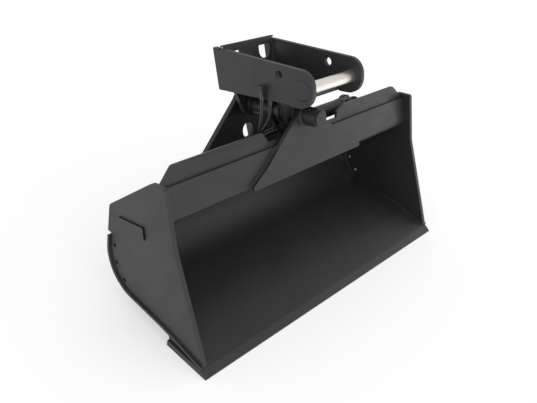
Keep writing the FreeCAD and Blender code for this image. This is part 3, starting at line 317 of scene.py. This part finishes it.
SIDE_ROUTE = [
    (*SIDE_LINE, 92),
    (-180, 158, 20),
    (-174, 182, -50),
    (-126, 226, -106),
    (-62, LINE_FRONT, VALVE_UP),
    (10, LINE_FRONT, VALVE_UP),
]
BASE_ROUTE = [
    (*BASE_LINE, 61),
    (-136, 154, 5),
    (-140, 188, -50),
    (-122, 252, -102),
    (-62, LINE_REAR, VALVE_UP),
    (10, LINE_REAR, VALVE_UP),
]
FRONT_ROUTE = [
    (114, LINE_FRONT, VALVE_UP),
    (142.7, LINE_FRONT, VALVE_UP),
    (171.3, LINE_FRONT, PORT_UP),
    (200, LINE_FRONT, PORT_UP),
]
REAR_ROUTE = [
    (114, LINE_REAR, VALVE_UP),
    (190, LINE_REAR, VALVE_UP),
    (266, LINE_REAR, PORT_UP),
    (342, LINE_REAR, PORT_UP),
]

hose(
    "supply_hose_side", SIDE_ROUTE,
)
hose(
    "supply_hose_base", BASE_ROUTE,
)
hose(
    "cylinder_hose_front", FRONT_ROUTE,
)
hose(
    "cylinder_hose_rear", REAR_ROUTE,
)

# finish and edges of the solid pieces

EDGE_BREAK = 0.9 * MM
EDGE_ANGLE = math.radians(35)
MERGE_GAP = 0.01 * MM

for part in frame["record"]["subparts"]:
    node = frame["nodes"][part["node"]]
    node.data.materials.clear()
    node.data.materials.append(SLOT_MATERIALS[part["material_slot"]])

PLATE_NODES = """cutting_edge bottom_shell rear_panel front_beam guard_plate_left guard_plate_right
side_plate_left side_plate_right wear_runners front_ear rear_ear rear_gussets front_pivot_boss rear_pivot_boss
head_side_plate_left head_side_plate_right head_base_plate hub_tube head_front_lug head_rear_lug hub_web
lever_plate_front lever_plate_rear cylinder_bracket cylinder_base rod_eye side_line_block pivot_pin
relief_valve_block shaft_end_rings front_port rear_port""".split()


def break_edges(node):
    """A small bevel along the sharp edges, which catches the light as a sawn and ground plate does."""
    weld = node.modifiers.new("join", "WELD")
    weld.merge_threshold = MERGE_GAP
    bevel = node.modifiers.new("edges", "BEVEL")
    bevel.width = EDGE_BREAK
    bevel.segments = 2
    bevel.limit_method = "ANGLE"
    bevel.angle_limit = EDGE_ANGLE
    bevel.use_clamp_overlap = True
    bevel.harden_normals = False


for name in PLATE_NODES:
    break_edges(frame["nodes"][name])

# meshes of the added pieces

TURNS = 48
ANGLES = [2 * math.pi * turn / TURNS for turn in range(TURNS)]
HEX_CHAMFER = math.tan(math.radians(30))
HEX_RIM = 0.96


def new_piece(name, builder, material, body, smooth_below=40):
    """Turns a built mesh into a piece that rides on a body."""
    mesh = bpy.data.meshes.new(name)
    bmesh.ops.recalc_face_normals(builder, faces=builder.faces)
    builder.to_mesh(mesh)
    builder.free()
    piece = bpy.data.objects.new(name, mesh)
    scene.collection.objects.link(piece)
    mesh.materials.append(material)
    for face in mesh.polygons:
        face.use_smooth = True
    mesh.set_sharp_from_angle(angle=math.radians(smooth_below))
    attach(piece, body)
    return piece


def new_fitting(name, builder, body):
    return new_piece(name, builder, PLATED, body, smooth_below=35)


def joined_rings(builder, rings):
    """Skins closed rings of as many points each, with both ends closed."""
    made = [[builder.verts.new(place) for place in ring] for ring in rings]
    count = len(made[0])
    for before, after in zip(made, made[1:]):
        for index in range(count):
            following = (index + 1) % count
            builder.faces.new((before[index], before[following], after[following], after[index]))
    builder.faces.new(made[0])
    builder.faces.new(reversed(made[-1]))


def square_to(axis):
    """Two unit vectors square to a unit axis and to each other."""
    first = axis.cross(SIDE if abs(axis.x) < 0.9 else BACK).normalized()
    return first, axis.cross(first)


def skin_round(builder, at, axis, rings):
    """Skins rings round an axis; a ring has one (along, radius) in mm from at for each of the angles."""
    axis = axis.normalized()
    first, second = square_to(axis)
    made = []
    for ring in rings:
        places = []
        for angle, (along, radius) in zip(ANGLES, ring):
            radial = first * math.cos(angle) + second * math.sin(angle)
            places.append(at + (axis * along + radial * radius) * MM)
        made.append(places)
    joined_rings(builder, made)


def lathe(builder, at, axis, profile):
    """A round piece; profile is (along, radius) in mm from at."""
    skin_round(builder, at, axis, [[spot] * TURNS for spot in profile])


def hexagon(radius, angle):
    """The reach of a hexagon whose flats are at this radius."""
    sector = math.pi / 3
    return radius / math.cos((angle + sector / 2) % sector - sector / 2)


def hex_block(builder, at, axis, start, high, half_flats):
    """A hexagon with chamfered ends, as bolt heads and nuts have."""
    rim_radius = half_flats * HEX_RIM
    reaches = [hexagon(half_flats, angle) for angle in ANGLES]
    end = start + high
    skin_round(builder, at, axis, [
        [(start, rim_radius)] * TURNS,
        [(start + (reach - rim_radius) * HEX_CHAMFER, reach) for reach in reaches],
        [(end - (reach - rim_radius) * HEX_CHAMFER, reach) for reach in reaches],
        [(end, rim_radius)] * TURNS,
    ])


# lines across the part

ARC_STEPS = 10


def rounded(corners):
    """A line through (across, up, radius) corners with their arcs, as (across, up) points."""
    places = [Vector(corner[:2]) for corner in corners]
    radii = [corner[2] if len(corner) > 2 else 0 for corner in corners]
    result = [places[0]]
    for before, corner, after, radius in zip(places, places[1:], places[2:], radii[1:]):
        if not radius:
            result.append(corner)
            continue
        back = (before - corner).normalized()
        onward = (after - corner).normalized()
        half = back.angle(onward) / 2
        centre = corner + (back + onward).normalized() * (radius / math.sin(half))
        start = corner + back * (radius / math.tan(half)) - centre
        finish = corner + onward * (radius / math.tan(half)) - centre
        turn = start.angle_signed(finish)
        for step in range(ARC_STEPS + 1):
            angle = -turn * step / ARC_STEPS
            spun = Vector((
                start.x * math.cos(angle) - start.y * math.sin(angle),
                start.x * math.sin(angle) + start.y * math.cos(angle),
            ))
            result.append(centre + spun)
    result.append(places[-1])
    return result


def lefts_of(points):
    """For each point of a flat line the direction to its left."""
    result = []
    for index in range(len(points)):
        before = points[max(index - 1, 0)]
        after = points[min(index + 1, len(points) - 1)]
        way = (after - before).normalized()
        result.append(Vector((-way.y, way.x)))
    return result


def beside(points, depth):
    """The line at a depth to the left of a line of (across, up) points."""
    return [point + left * depth for point, left in zip(points, lefts_of(points))]


def normals_of(points):
    """For each (back, up) point the direction to the left of the line, as a direction of the part."""
    return [Vector((0, left.x, left.y)) for left in lefts_of(points)]


def on_face(side, out, along):
    """A place by the beam's leaning face, in mm."""
    return FACE_FOOT + SIDE * side + FACE_OUT * out + FACE_UP * along


# welds

RIPPLE = 6.0
RIPPLE_STEP = 2.0
BEAD_ARC = 4
BEAD_ROOT = 0.3
BEAD_SIZE = 0.92
SCALLOP_SIZE = 0.10
DRIFT_SIZE = 0.03
DRIFT_LONG = 37.0
DRIFT_SHORT = 13.7
CROWN_FLAT = 0.6
CROWN_ROUND = 0.4


def resampled(points, spacing):
    """Evenly spaced points of a line, each with its run's number, its share of the run and its way so far."""
    result = []
    travelled = 0.0
    for index, (start, end) in enumerate(zip(points, points[1:])):
        run = (end - start).length
        steps = max(1, round(run / spacing))
        for step in range(steps):
            share = step / steps
            result.append((start.lerp(end, share), index, share, travelled + run * share))
        travelled += run
    result.append((points[-1].copy(), len(points) - 2, 1.0, travelled))
    return result


def fillet(builder, points, first, second, leg):
    """A fillet weld along a corner (points in mm); first and second point from it along the plates."""
    firsts = first if isinstance(first, list) else [first] * len(points)
    seconds = second if isinstance(second, list) else [second] * len(points)
    rings = []
    for place, index, share, travelled in resampled(points, RIPPLE_STEP):
        one = firsts[index].lerp(firsts[index + 1], share).normalized()
        two = seconds[index].lerp(seconds[index + 1], share).normalized()
        scallop = abs(math.sin(math.pi * travelled / RIPPLE))
        drift = math.sin(travelled / DRIFT_LONG) + math.sin(travelled / DRIFT_SHORT + 1.0)
        reach = leg * (BEAD_SIZE + SCALLOP_SIZE * scallop + DRIFT_SIZE * drift)
        ring = [place - (one + two) * BEAD_ROOT]
        for step in range(BEAD_ARC + 1):
            angle = math.pi / 2 * step / BEAD_ARC
            chord = 1 / (math.cos(angle) + math.sin(angle))
            bulge = reach * (CROWN_FLAT * chord + CROWN_ROUND)
            ring.append(place + one * bulge * math.cos(angle) + two * bulge * math.sin(angle))
        rings.append([corner * MM for corner in ring])
    joined_rings(builder, rings)


def ring_fillet(builder, centre, axis, radius, leg, across=None):
    """A fillet weld round a cylinder where it leaves a plate; across is the plate's normal if it leans."""
    axis = axis.normalized()
    first, second = square_to(axis)
    normal = across.normalized() if across else axis
    points = []
    outward = []
    for turn in range(TURNS + 1):
        angle = 2 * math.pi * turn / TURNS
        radial = first * math.cos(angle) + second * math.sin(angle)
        flat = centre + radial * radius
        flat -= axis * ((flat - centre).dot(normal) / axis.dot(normal))
        points.append(flat)
        outward.append((radial - normal * radial.dot(normal)).normalized())
    fillet(builder, points, outward, axis, leg)


LIP_HALF = 799
LIP_WELD = [(27, 22.4), (27, 23.2), (54.9, 40.9), (58, 41.3), (58, 38), (40, 30), (31, 24)]


def lip_weld():
    """The floor's front edge is welded to the blade and ground flush with its bevel."""
    builder = bmesh.new()
    ends = [[in_bucket(side, *point) for point in LIP_WELD] for side in (-LIP_HALF, LIP_HALF)]
    joined_rings(builder, ends)
    new_piece("lip_weld", builder, PAINT, "bucket", smooth_below=20)


BEAM_LEG = [(328, 495.8), (555, 474.5)]
BEAM_LEG_DOWN = Vector((0, -0.094, -0.996))
SEAM_SPREAD = 0.35


def side_plate_welds(builder):
    """The side plates to the shell, to the rear panel and to the leg of the front beam."""
    floor_in = beside(rounded(FLOOR), SHELL_THICK)
    panel_in = beside(rounded(PANEL_LINE), SHELL_THICK)
    for hand in (-1, 1):
        inside = [bucket_mm(hand * CHEEK_INNER, *point) for point in floor_in]
        fillet(builder, inside, SIDE * -hand, normals_of(floor_in), leg=3)
        inside = [bucket_mm(hand * CHEEK_INNER, *point) for point in panel_in]
        fillet(builder, inside, SIDE * -hand, normals_of(panel_in), leg=5)
        inside = [bucket_mm(hand * CHEEK_INNER, *point) for point in BEAM_LEG]
        fillet(builder, inside, SIDE * -hand, BEAM_LEG_DOWN, leg=5)


def rear_seam_weld(builder):
    """The butt weld between shell and rear panel."""
    seam = [bucket_mm(side, REAR_WALL, SEAM_UP) for side in (-CHEEK_INNER, CHEEK_INNER)]
    upper = (BACK * SEAM_SPREAD + UP).normalized()
    lower = (BACK * SEAM_SPREAD - UP).normalized()
    fillet(builder, seam, upper, lower, leg=5)


# right half of the front ear's foot on the beam's face, as (side, up the face, radius)
EAR_FOOT = [(177.1, 147), (262, 79, 160), (352, 25, 7), (352, 9, 7), (-352, 9)]
EAR_HEART = 60


def front_ear_weld(builder):
    """The front ear round its foot; every direction points away from the ear's middle."""
    right = rounded(EAR_FOOT)[:-1]
    foot = right + [Vector((-point.x, point.y)) for point in reversed(right)]
    heart = on_face(0, 0, EAR_HEART)
    points = []
    outward = []
    for point, left in zip(foot, lefts_of(foot)):
        place = on_face(point.x, 0, point.y)
        direction = SIDE * left.x + FACE_UP * left.y
        points.append(place)
        outward.append(-direction if direction.dot(place - heart) < 0 else direction)
    fillet(builder, points, outward, -FACE_OUT, leg=4)


def axis_at_face(out):
    """Where the pivot axis crosses the beam's face, or a plane that far out from it."""
    along = (on_face(0, out, 0) - PIVOT).dot(FACE_OUT) / AXIS.dot(FACE_OUT)
    return PIVOT + AXIS * along


REAR_EAR_FOOT = [(-276, 405), (-272, 330), (272, 330), (276, 405)]
GUSSETS = (-60, 60)
GUSSET_HALF = 7
GUSSET_UPS = (331, 376)


def rear_ear_welds(builder):
    """The rear ear on the rear wall, and the gussets on the ear."""
    points = [bucket_mm(side, REAR_WALL, up) for side, up in REAR_EAR_FOOT]
    outward = [-SIDE, (-SIDE - UP).normalized(), (SIDE - UP).normalized(), SIDE]
    fillet(builder, points, outward, BACK, leg=7)
    for middle in GUSSETS:
        for hand in (-1, 1):
            side = middle + hand * GUSSET_HALF
            line = [bucket_mm(side, REAR_WALL + EAR_THICK, up) for up in GUSSET_UPS]
            fillet(builder, line, SIDE * hand, BACK, leg=6)


# left, right, front and rear of what stands on the sloping panel, in the tilt frame
PANEL_FEET = [(437, 537, 180, 194), (437, 537, 236, 250), (VALVE_LEFT, VALVE_RIGHT, 257, 305)]


def panel_welds(builder):
    """The two bracket plates and the valve block on the sloping panel."""
    slope = Vector((0, PANEL_BACK - REAR_WALL, PANEL_UP - FOLD_UP)).normalized()
    square = Vector((0, slope.z, -slope.y))
    for left, right, front, rear in PANEL_FEET:
        for along, way in ((front, 1), (rear, -1)):
            base = PIVOT + AXIS * along
            drop = (base - bucket_mm(0, REAR_WALL, FOLD_UP)).dot(square) / LIFT.dot(square)
            foot = base - LIFT * drop
            line = [foot + SIDE * left, foot + SIDE * right]
            fillet(builder, line, slope * way, LIFT, leg=6)


RUNNERS = (-560, 0, 560)
RUNNER_HALF = 20
RUNNER_FROM = 232
RUNNER_TO = 500


def runner_welds(builder):
    floor_out = [point for point in rounded(FLOOR) if RUNNER_FROM < point.x < RUNNER_TO]
    downs = [-normal for normal in normals_of(floor_out)]
    for middle in RUNNERS:
        for hand in (-1, 1):
            line = [bucket_mm(middle + hand * RUNNER_HALF, *point) for point in floor_out]
            fillet(builder, line, SIDE * hand, downs, leg=6)


def bucket_welds():
    builder = bmesh.new()
    side_plate_welds(builder)
    rear_seam_weld(builder)
    front_ear_weld(builder)
    ring_fillet(builder, axis_at_face(-EAR_THICK), -AXIS, BOSS_RADIUS, leg=5, across=-FACE_OUT)
    ring_fillet(builder, axis_at_face(0), AXIS, BOSS_RADIUS, leg=6, across=FACE_OUT)
    rear_ear_welds(builder)
    panel_welds(builder)
    runner_welds(builder)
    new_piece("bucket_welds", builder, PAINT, "bucket", smooth_below=60)


WALL_FRONT = -10
WALL_BACK = 10
WALL_THICK = 10
WALL_TOP = 278
WALL_FOOT = 381
WALL_LEAN = 25 / 179


def wall_at(up, offset):
    """How far back the head's rear wall is at a height; the offset counts from its place's middle."""
    return WALL_FOOT + (up - HEAD_FLOOR_UNDER) * WALL_LEAN + offset


WALL_WELD_UPS = (112, 263)
FLOOR_START_TOP = 12
FLOOR_START_UNDER = 34
WELD_SIDE = 144
LUG_WELD_SIDE = 110
LUGS = ((118, 138), (373, 393))
LEVERS = ((187, -1), (243, 1))
SHAFT_RING = 38
SHAFT_RADIUS = 25


def head_welds():
    builder = bmesh.new()
    wall_front = wall_at(HEAD_FLOOR_TOP, WALL_FRONT)
    wall_rear = wall_at(HEAD_FLOOR_UNDER, WALL_BACK)
    for hand in (-1, 1):
        # side plate to the rear wall and to both faces of the base plate
        for offset, way in ((WALL_FRONT, -1), (WALL_FRONT + WALL_THICK, 1)):
            line = [tilt_mm(hand * HEAD_INNER, wall_at(up, offset), up) for up in WALL_WELD_UPS]
            fillet(builder, line, SIDE * -hand, AXIS * way, leg=4)
        line = [tilt_mm(hand * HEAD_INNER, back, HEAD_FLOOR_TOP) for back in (FLOOR_START_TOP, wall_front)]
        fillet(builder, line, SIDE * -hand, LIFT, leg=5)
        line = [tilt_mm(hand * HEAD_INNER, back, HEAD_FLOOR_UNDER) for back in (FLOOR_START_UNDER, wall_rear)]
        fillet(builder, line, SIDE * -hand, -LIFT, leg=5)
        # coupler shaft outside and inside
        outside = tilt_mm(hand * HEAD_OUTER, SHAFT_BACK, SHAFT_UP)
        ring_fillet(builder, outside, SIDE * hand, SHAFT_RING, leg=4)
        inside = tilt_mm(hand * HEAD_INNER, SHAFT_BACK, SHAFT_UP)
        ring_fillet(builder, inside, SIDE * -hand, SHAFT_RADIUS, leg=5)
    # base plate to the rear wall
    across_wall = [tilt_mm(side, wall_front, HEAD_FLOOR_TOP) for side in (-WELD_SIDE, WELD_SIDE)]
    fillet(builder, across_wall, -AXIS, LIFT, leg=5)
    # lugs under the base plate and on the hub
    for front, rear in LUGS:
        for along, way in ((front, -1), (rear, 1)):
            line = [tilt_mm(side, along, HEAD_FLOOR_UNDER) for side in (-LUG_WELD_SIDE, LUG_WELD_SIDE)]
            fillet(builder, line, AXIS * way, -LIFT, leg=6)
            ring_fillet(builder, tilt_mm(0, along, 0), AXIS * way, BOSS_RADIUS, leg=6)
    # lever plates on the hub
    for along, way in LEVERS:
        ring_fillet(builder, tilt_mm(0, along, 0), AXIS * way, BOSS_RADIUS, leg=6)
    new_piece("head_welds", builder, PAINT, "head", smooth_below=60)


TUBE_END = 412
TUBE_RADIUS = 31.5
ROD_END = 90
ROD_RADIUS = 16


def cylinder_welds():
    """The tube in its cap and the rod in its eye."""
    builder = bmesh.new()
    ring_fillet(builder, tilt_mm(TUBE_END, CYLINDER_BACK, CYLINDER_UP), SIDE, TUBE_RADIUS, leg=3.5)
    new_piece("cylinder_welds", builder, PAINT, "cylinder", smooth_below=60)
    builder = bmesh.new()
    ring_fillet(builder, tilt_mm(ROD_END, CYLINDER_BACK, CYLINDER_UP), SIDE, ROD_RADIUS, leg=3.5)
    new_piece("rod_weld", builder, PAINT, "rod", smooth_below=60)


lip_weld()
bucket_welds()
head_welds()
cylinder_welds()

# the head's rear wall and the bare badge


def flat_spline(curve, corners):
    """A closed line of a flat curve through (across, up, radius) corners."""
    first = Vector(corners[0][:2])
    last = Vector(corners[-1][:2])
    middle = tuple((first + last) / 2)
    points = rounded([middle, *corners, middle])[:-1]
    spline = curve.splines.new("POLY")
    spline.points.add(len(points) - 1)
    for knot, point in zip(spline.points, points):
        knot.co = (point.x * MM, point.y * MM, 0, 1)
    spline.use_cyclic_u = True


def flat_plate(outlines, thick):
    """A flat plate in its own plane, whose inner outlines are holes."""
    curve = bpy.data.curves.new("outline", "CURVE")
    curve.dimensions = "2D"
    curve.fill_mode = "BOTH"
    for corners in outlines:
        flat_spline(curve, corners)
    curve.extrude = thick / 2 * MM
    holder = bpy.data.objects.new("outline", curve)
    scene.collection.objects.link(holder)
    bpy.context.view_layer.update()
    mesh = bpy.data.meshes.new_from_object(holder)
    bpy.data.objects.remove(holder)
    builder = bmesh.new()
    builder.from_mesh(mesh)
    bpy.data.meshes.remove(mesh)
    bmesh.ops.remove_doubles(builder, verts=builder.verts, dist=MERGE_GAP)
    return builder


WALL_HALF = 144.8
TAB_HALF = 159
TAB_UNDER = 271.4
WALL_OUTLINE = [
    (-WALL_HALF, 111.2),
    (WALL_HALF, 111.2),
    (WALL_HALF, 268.4),
    (WALL_HALF, TAB_UNDER),
    (TAB_HALF, TAB_UNDER, 2),
    (TAB_HALF, WALL_TOP, 4),
    (-TAB_HALF, WALL_TOP, 4),
    (-TAB_HALF, TAB_UNDER, 2),
    (-WALL_HALF, TAB_UNDER),
    (-WALL_HALF, 268.4),
]


def locking_hole(middle):
    """A hole for a locking bolt, with a flat top and a round bottom."""
    return [
        (middle - HOLE_HALF, HOLE_UP - HOLE_HALF, HOLE_HALF - 1),
        (middle + HOLE_HALF, HOLE_UP - HOLE_HALF, HOLE_HALF - 1),
        (middle + HOLE_HALF, HOLE_UP + HOLE_FLAT, 6),
        (middle - HOLE_HALF, HOLE_UP + HOLE_FLAT, 6),
    ]


def head_wall():
    """The wall's top edge lies over both side plates."""
    builder = flat_plate([WALL_OUTLINE, *map(locking_hole, HOLE_SIDES)], WALL_THICK)
    for corner in builder.verts:
        across, up, depth = corner.co / MM
        corner.co = in_tilt(across, wall_at(up, WALL_FRONT + WALL_THICK / 2) + depth, up)
    piece = new_piece("head_wall", builder, PAINT, "head")
    break_edges(piece)
    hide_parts("head_rear_wall")


BADGE_MIDDLE = Vector((375 + HALF_BLADE, 397.5))
BADGE_HALF = (78, 26.5)
BADGE_CORNER = 5
BADGE_THICK = 7
BADGE_RISE = math.radians(14.3)


def bare_badge():
    """The bare raised plate on the left side plate; it rises to the front."""
    long, high = BADGE_HALF
    builder = flat_plate([[
        (-long, -high, BADGE_CORNER),
        (long, -high, BADGE_CORNER),
        (long, high, BADGE_CORNER),
        (-long, high, BADGE_CORNER),
    ]], BADGE_THICK)
    turn = Matrix.Rotation(-BADGE_RISE, 2)
    for corner in builder.verts:
        back, up = turn @ (corner.co.to_2d() / MM) + BADGE_MIDDLE
        side = corner.co.z / MM - CHEEK_OUTER - BADGE_THICK / 2
        corner.co = in_bucket(side, back, up)
    # the near-black material paints shade along the badge's edges
    piece = new_piece("bare_badge", builder, BADGE_EDGE_SHADE, "bucket")
    break_edges(piece)
    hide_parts("badge_plate")


head_wall()
bare_badge()

# fasteners and fittings; every profile is (along, radius)

NUT_LONG = 11
NUT_FLATS = 9.6
FERRULE = 9.5
FERRULE_PRESSED = 8.8
FERRULE_GROOVES = (16.5, 20.5, 24.5)


def swaged_end(builder, at, axis):
    """A hose end: a hexagon nut, a short shank and a ferrule pressed in three places."""
    hex_block(builder, at, axis, 0, NUT_LONG, NUT_FLATS)
    profile = [
        (NUT_LONG - 1, 6.5),
        (NUT_LONG - 1, 7.8),
        (12.6, 7.8),
        (12.6, FERRULE_PRESSED),
        (13.6, FERRULE),
    ]
    for groove in FERRULE_GROOVES:
        profile += [
            (groove, FERRULE),
            (groove + 0.6, FERRULE_PRESSED),
            (groove + 2, FERRULE_PRESSED),
            (groove + 2.6, FERRULE),
        ]
    profile += [(29, FERRULE), (30, FERRULE_PRESSED), (30, 7.1)]
    lathe(builder, at, axis, profile)


def hose_ends():
    builder = bmesh.new()
    for along in (LINE_FRONT, LINE_REAR):
        swaged_end(builder, in_tilt(VALVE_LEFT, along, VALVE_UP), -SIDE)
        swaged_end(builder, in_tilt(VALVE_RIGHT, along, VALVE_UP), SIDE)
    piece = new_fitting("valve_line_ends", builder, "bucket")
    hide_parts("valve_hose_ends")
    builder = bmesh.new()
    swaged_end(builder, in_tilt(PORT_FRONT, LINE_FRONT, PORT_UP), -SIDE)
    swaged_end(builder, in_tilt(PORT_REAR, LINE_REAR, PORT_UP), -SIDE)
    piece = new_fitting("cylinder_line_ends", builder, "cylinder")
    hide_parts("cylinder_hose_ends")
    builder = bmesh.new()
    swaged_end(builder, in_tilt(*SIDE_LINE, SIDE_LINE_TOP), -LIFT)
    swaged_end(builder, in_tilt(*BASE_LINE, HEAD_FLOOR_UNDER), -LIFT)
    piece = new_fitting("head_line_ends", builder, "head")
    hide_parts("head_hose_ends")


SLEEVE_BACK = [(7, 8), (7, 10), (9.4, 10), (9.4, 11.8)]
SLEEVE_GRIP = [(10.4, 12.6), (19, 12.6)]
SLEEVE_FRONT = [(20, 11.8), (20.8, 11.2)]
NOSE = [(22, 11.2), (22.6, 12.4), (25, 12.4), (25.6, 9.5), (28, 9.5), (28, 6.5), (26.4, 6), (26.4, 2)]
KNURL_DEPTH = 0.35
BASE_COUPLER = (-127, 152, HEAD_FLOOR_TOP)
SIDE_COUPLER = (-HEAD_INNER, 206, 156)


def quick_coupler(builder, at, axis):
    """A supply coupler: hexagon body, knurled sleeve with a lock groove, and a flat nose."""
    hex_block(builder, at, axis, 0, 8, 11.2)
    plain_back = [[spot] * TURNS for spot in SLEEVE_BACK]
    grip = [
        [(along, radius + KNURL_DEPTH * math.cos(TURNS / 2 * angle)) for angle in ANGLES]
        for along, radius in SLEEVE_GRIP
    ]
    plain_front = [[spot] * TURNS for spot in SLEEVE_FRONT + NOSE]
    skin_round(builder, at, axis, plain_back + grip + plain_front)


def couplers():
    builder = bmesh.new()
    quick_coupler(builder, in_tilt(*BASE_COUPLER), LIFT)
    quick_coupler(builder, in_tilt(*SIDE_COUPLER), SIDE)
    piece = new_fitting("line_couplers", builder, "head")
    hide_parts("supply_couplings")


CARTRIDGE_SIDES = (48, 76)
CARTRIDGE_BACK = 281
LOCK_NUT = [(9, 5), (9, 6.4), (12.4, 6.4), (12.4, 5)]
ADJUSTER = [(15, 2), (15, 3), (21.4, 3), (22, 2.4), (22, 1.4), (20, 1.2)]


def cartridges():
    """Two relief cartridges, each with its lock nut and adjusting screw."""
    builder = bmesh.new()
    for side in CARTRIDGE_SIDES:
        at = in_tilt(side, CARTRIDGE_BACK, VALVE_TOP)
        hex_block(builder, at, LIFT, 0, 10, 8.7)
        lathe(builder, at, LIFT, LOCK_NUT)
        hex_block(builder, at, LIFT, 12.2, 4, 5.4)
        lathe(builder, at, LIFT, ADJUSTER)
    piece = new_fitting("relief_screws", builder, "bucket")
    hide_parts("relief_cartridges")


WASHER_SHARE = 1.35


def bolt(builder, at, axis, half_flats, high):
    """A washer and a hexagon head on a face."""
    washer = half_flats * WASHER_SHARE
    lathe(builder, at, axis, [(-0.5, 3), (-0.5, washer), (1.4, washer), (1.9, washer - 0.5), (1.9, 3)])
    hex_block(builder, at, axis, 1.8, high, half_flats)


def bolt_pair(name, side, fronts, body):
    """A bolt on each end of a small pin."""
    builder = bmesh.new()
    front, rear = fronts
    bolt(builder, in_tilt(side, front, CYLINDER_UP), -AXIS, 7, 5)
    bolt(builder, in_tilt(side, rear, CYLINDER_UP), AXIS, 7, 5)
    new_fitting(name, builder, body)


COVER_RIM = [(0.3, 26), (0.3, 33.8), (7.4, 33.8), (9.2, 32), (9.2, 23), (8.6, 22.4), (8.6, 20.6), (9.2, 20)]
COVER_HUB = [(9.2, 9), (10, 8.2), (10, 5.4), (9, 4.6), (9, 1)]
RETAINER = [(0, 6), (0, 33), (6.4, 33), (8, 31.4), (8, 6)]
RETAINER_BACK = 475.6
RETAINER_FACE = 483.6


def pin_ends():
    """The pivot pin's painted cover in front, its bolted retainer behind, and the small pins' bolts."""
    builder = bmesh.new()
    lathe(builder, in_tilt(0, 0, 0), -AXIS, COVER_RIM + COVER_HUB)
    new_piece("pivot_cover", builder, PAINT, "bucket", smooth_below=35)
    builder = bmesh.new()
    lathe(builder, in_tilt(0, RETAINER_BACK, 0), AXIS, RETAINER)
    bolt(builder, in_tilt(0, RETAINER_FACE, 0), AXIS, 10, 8)
    piece = new_fitting("pivot_retainer", builder, "bucket")
    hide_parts("pin_retainer")
    bolt_pair("base_pin_bolts", BASE_SIDE, (174, 256), "bucket")
    bolt_pair("lever_pin_bolts", LEVER_SIDE, (180, 250), "head")


NIPPLE_FOOT = [(3, 1), (3, 2.6), (5, 2.2), (6.6, 1.9)]
NIPPLE_BALL = [(7.6, 2.6), (8.6, 2.9), (9.8, 2.5), (10.6, 1.4), (10.6, 0.4)]
BOSS_NIPPLES = (34, 452)
EYE_NIPPLES = (("base_eye_nipple", BASE_SIDE, "cylinder"), ("rod_eye_nipple", LEVER_SIDE, "rod"))
EYE_TOP = -45


def nipple(builder, at, axis):
    """A grease nipple: hexagon foot, waist and ball end."""
    hex_block(builder, at, axis, -0.5, 4, 3.5)
    lathe(builder, at, axis, NIPPLE_FOOT + NIPPLE_BALL)


def grease_nipples():
    """One on each pivot boss and one on each eye of the cylinder."""
    builder = bmesh.new()
    slant = (LIFT * 0.8 - SIDE * 0.6).normalized()
    for along in BOSS_NIPPLES:
        nipple(builder, in_tilt(0, along, 0) + slant * BOSS_RADIUS * MM, slant)
    new_fitting("pivot_nipples", builder, "bucket")
    for name, side, body in EYE_NIPPLES:
        builder = bmesh.new()
        nipple(builder, in_tilt(side, CYLINDER_BACK, EYE_TOP), LIFT)
        new_fitting(name, builder, body)


hose_ends()
couplers()
cartridges()
pin_ends()
grease_nipples()

# studio

FLOOR_SIZE = 60
FLOOR_TONE = 0.78
FLOOR_GLOW = 0.46
WORLD_LIGHT = 0.72
WORLD_WHITE = 1.0
LAMP_AIM = Vector((0, 0, 0.5))


def plain_floor():
    """A pale floor that is white to the camera and keeps the object's shadow."""
    bpy.ops.mesh.primitive_plane_add(size=FLOOR_SIZE)
    floor = bpy.context.object
    floor.name = "studio_floor"
    material = bpy.data.materials.new("studio_floor")
    material.use_nodes = True
    tree = material.node_tree
    tree.nodes.clear()
    output = tree.nodes.new("ShaderNodeOutputMaterial")
    diffuse = tree.nodes.new("ShaderNodeBsdfDiffuse")
    diffuse.inputs["Color"].default_value = (FLOOR_TONE, FLOOR_TONE, FLOOR_TONE, 1)
    glow = tree.nodes.new("ShaderNodeEmission")
    path = tree.nodes.new("ShaderNodeLightPath")
    seen = tree.nodes.new("ShaderNodeMath")
    seen.operation = "MAXIMUM"
    tree.links.new(path.outputs["Is Camera Ray"], seen.inputs[0])
    tree.links.new(path.outputs["Is Glossy Ray"], seen.inputs[1])
    level = tree.nodes.new("ShaderNodeMath")
    level.operation = "MULTIPLY"
    level.inputs[1].default_value = FLOOR_GLOW
    tree.links.new(seen.outputs[0], level.inputs[0])
    tree.links.new(level.outputs[0], glow.inputs["Strength"])
    both = tree.nodes.new("ShaderNodeAddShader")
    tree.links.new(diffuse.outputs[0], both.inputs[0])
    tree.links.new(glow.outputs[0], both.inputs[1])
    tree.links.new(both.outputs[0], output.inputs["Surface"])
    floor.data.materials.append(material)


def studio_world():
    """An even white light all round, and plain white where the camera sees past the floor."""
    world = bpy.data.worlds.new("studio")
    scene.world = world
    world.use_nodes = True
    tree = world.node_tree
    tree.nodes.clear()
    output = tree.nodes.new("ShaderNodeOutputWorld")
    path = tree.nodes.new("ShaderNodeLightPath")
    choice = tree.nodes.new("ShaderNodeMixShader")
    tree.links.new(path.outputs["Is Camera Ray"], choice.inputs["Fac"])
    for slot, strength in enumerate((WORLD_LIGHT, WORLD_WHITE), start=1):
        background = tree.nodes.new("ShaderNodeBackground")
        background.inputs["Color"].default_value = (1, 1, 1, 1)
        background.inputs["Strength"].default_value = strength
        tree.links.new(background.outputs[0], choice.inputs[slot])
    tree.links.new(choice.outputs[0], output.inputs["Surface"])


def lamp(name, at, size, power):
    """A soft round lamp that looks at the object."""
    light = bpy.data.objects.new(name, bpy.data.lights.new(name, "AREA"))
    light.data.shape = "DISK"
    light.data.size = size
    light.data.energy = power
    light.location = at
    light.rotation_mode = "QUATERNION"
    light.rotation_quaternion = (LAMP_AIM - Vector(at)).to_track_quat("-Z", "Y")
    scene.collection.objects.link(light)


plain_floor()
studio_world()
lamp("right", (4.2, -1.6, 0.9), size=1.0, power=12)
lamp("front", (-0.8, -4.2, 1.2), size=2.6, power=12)
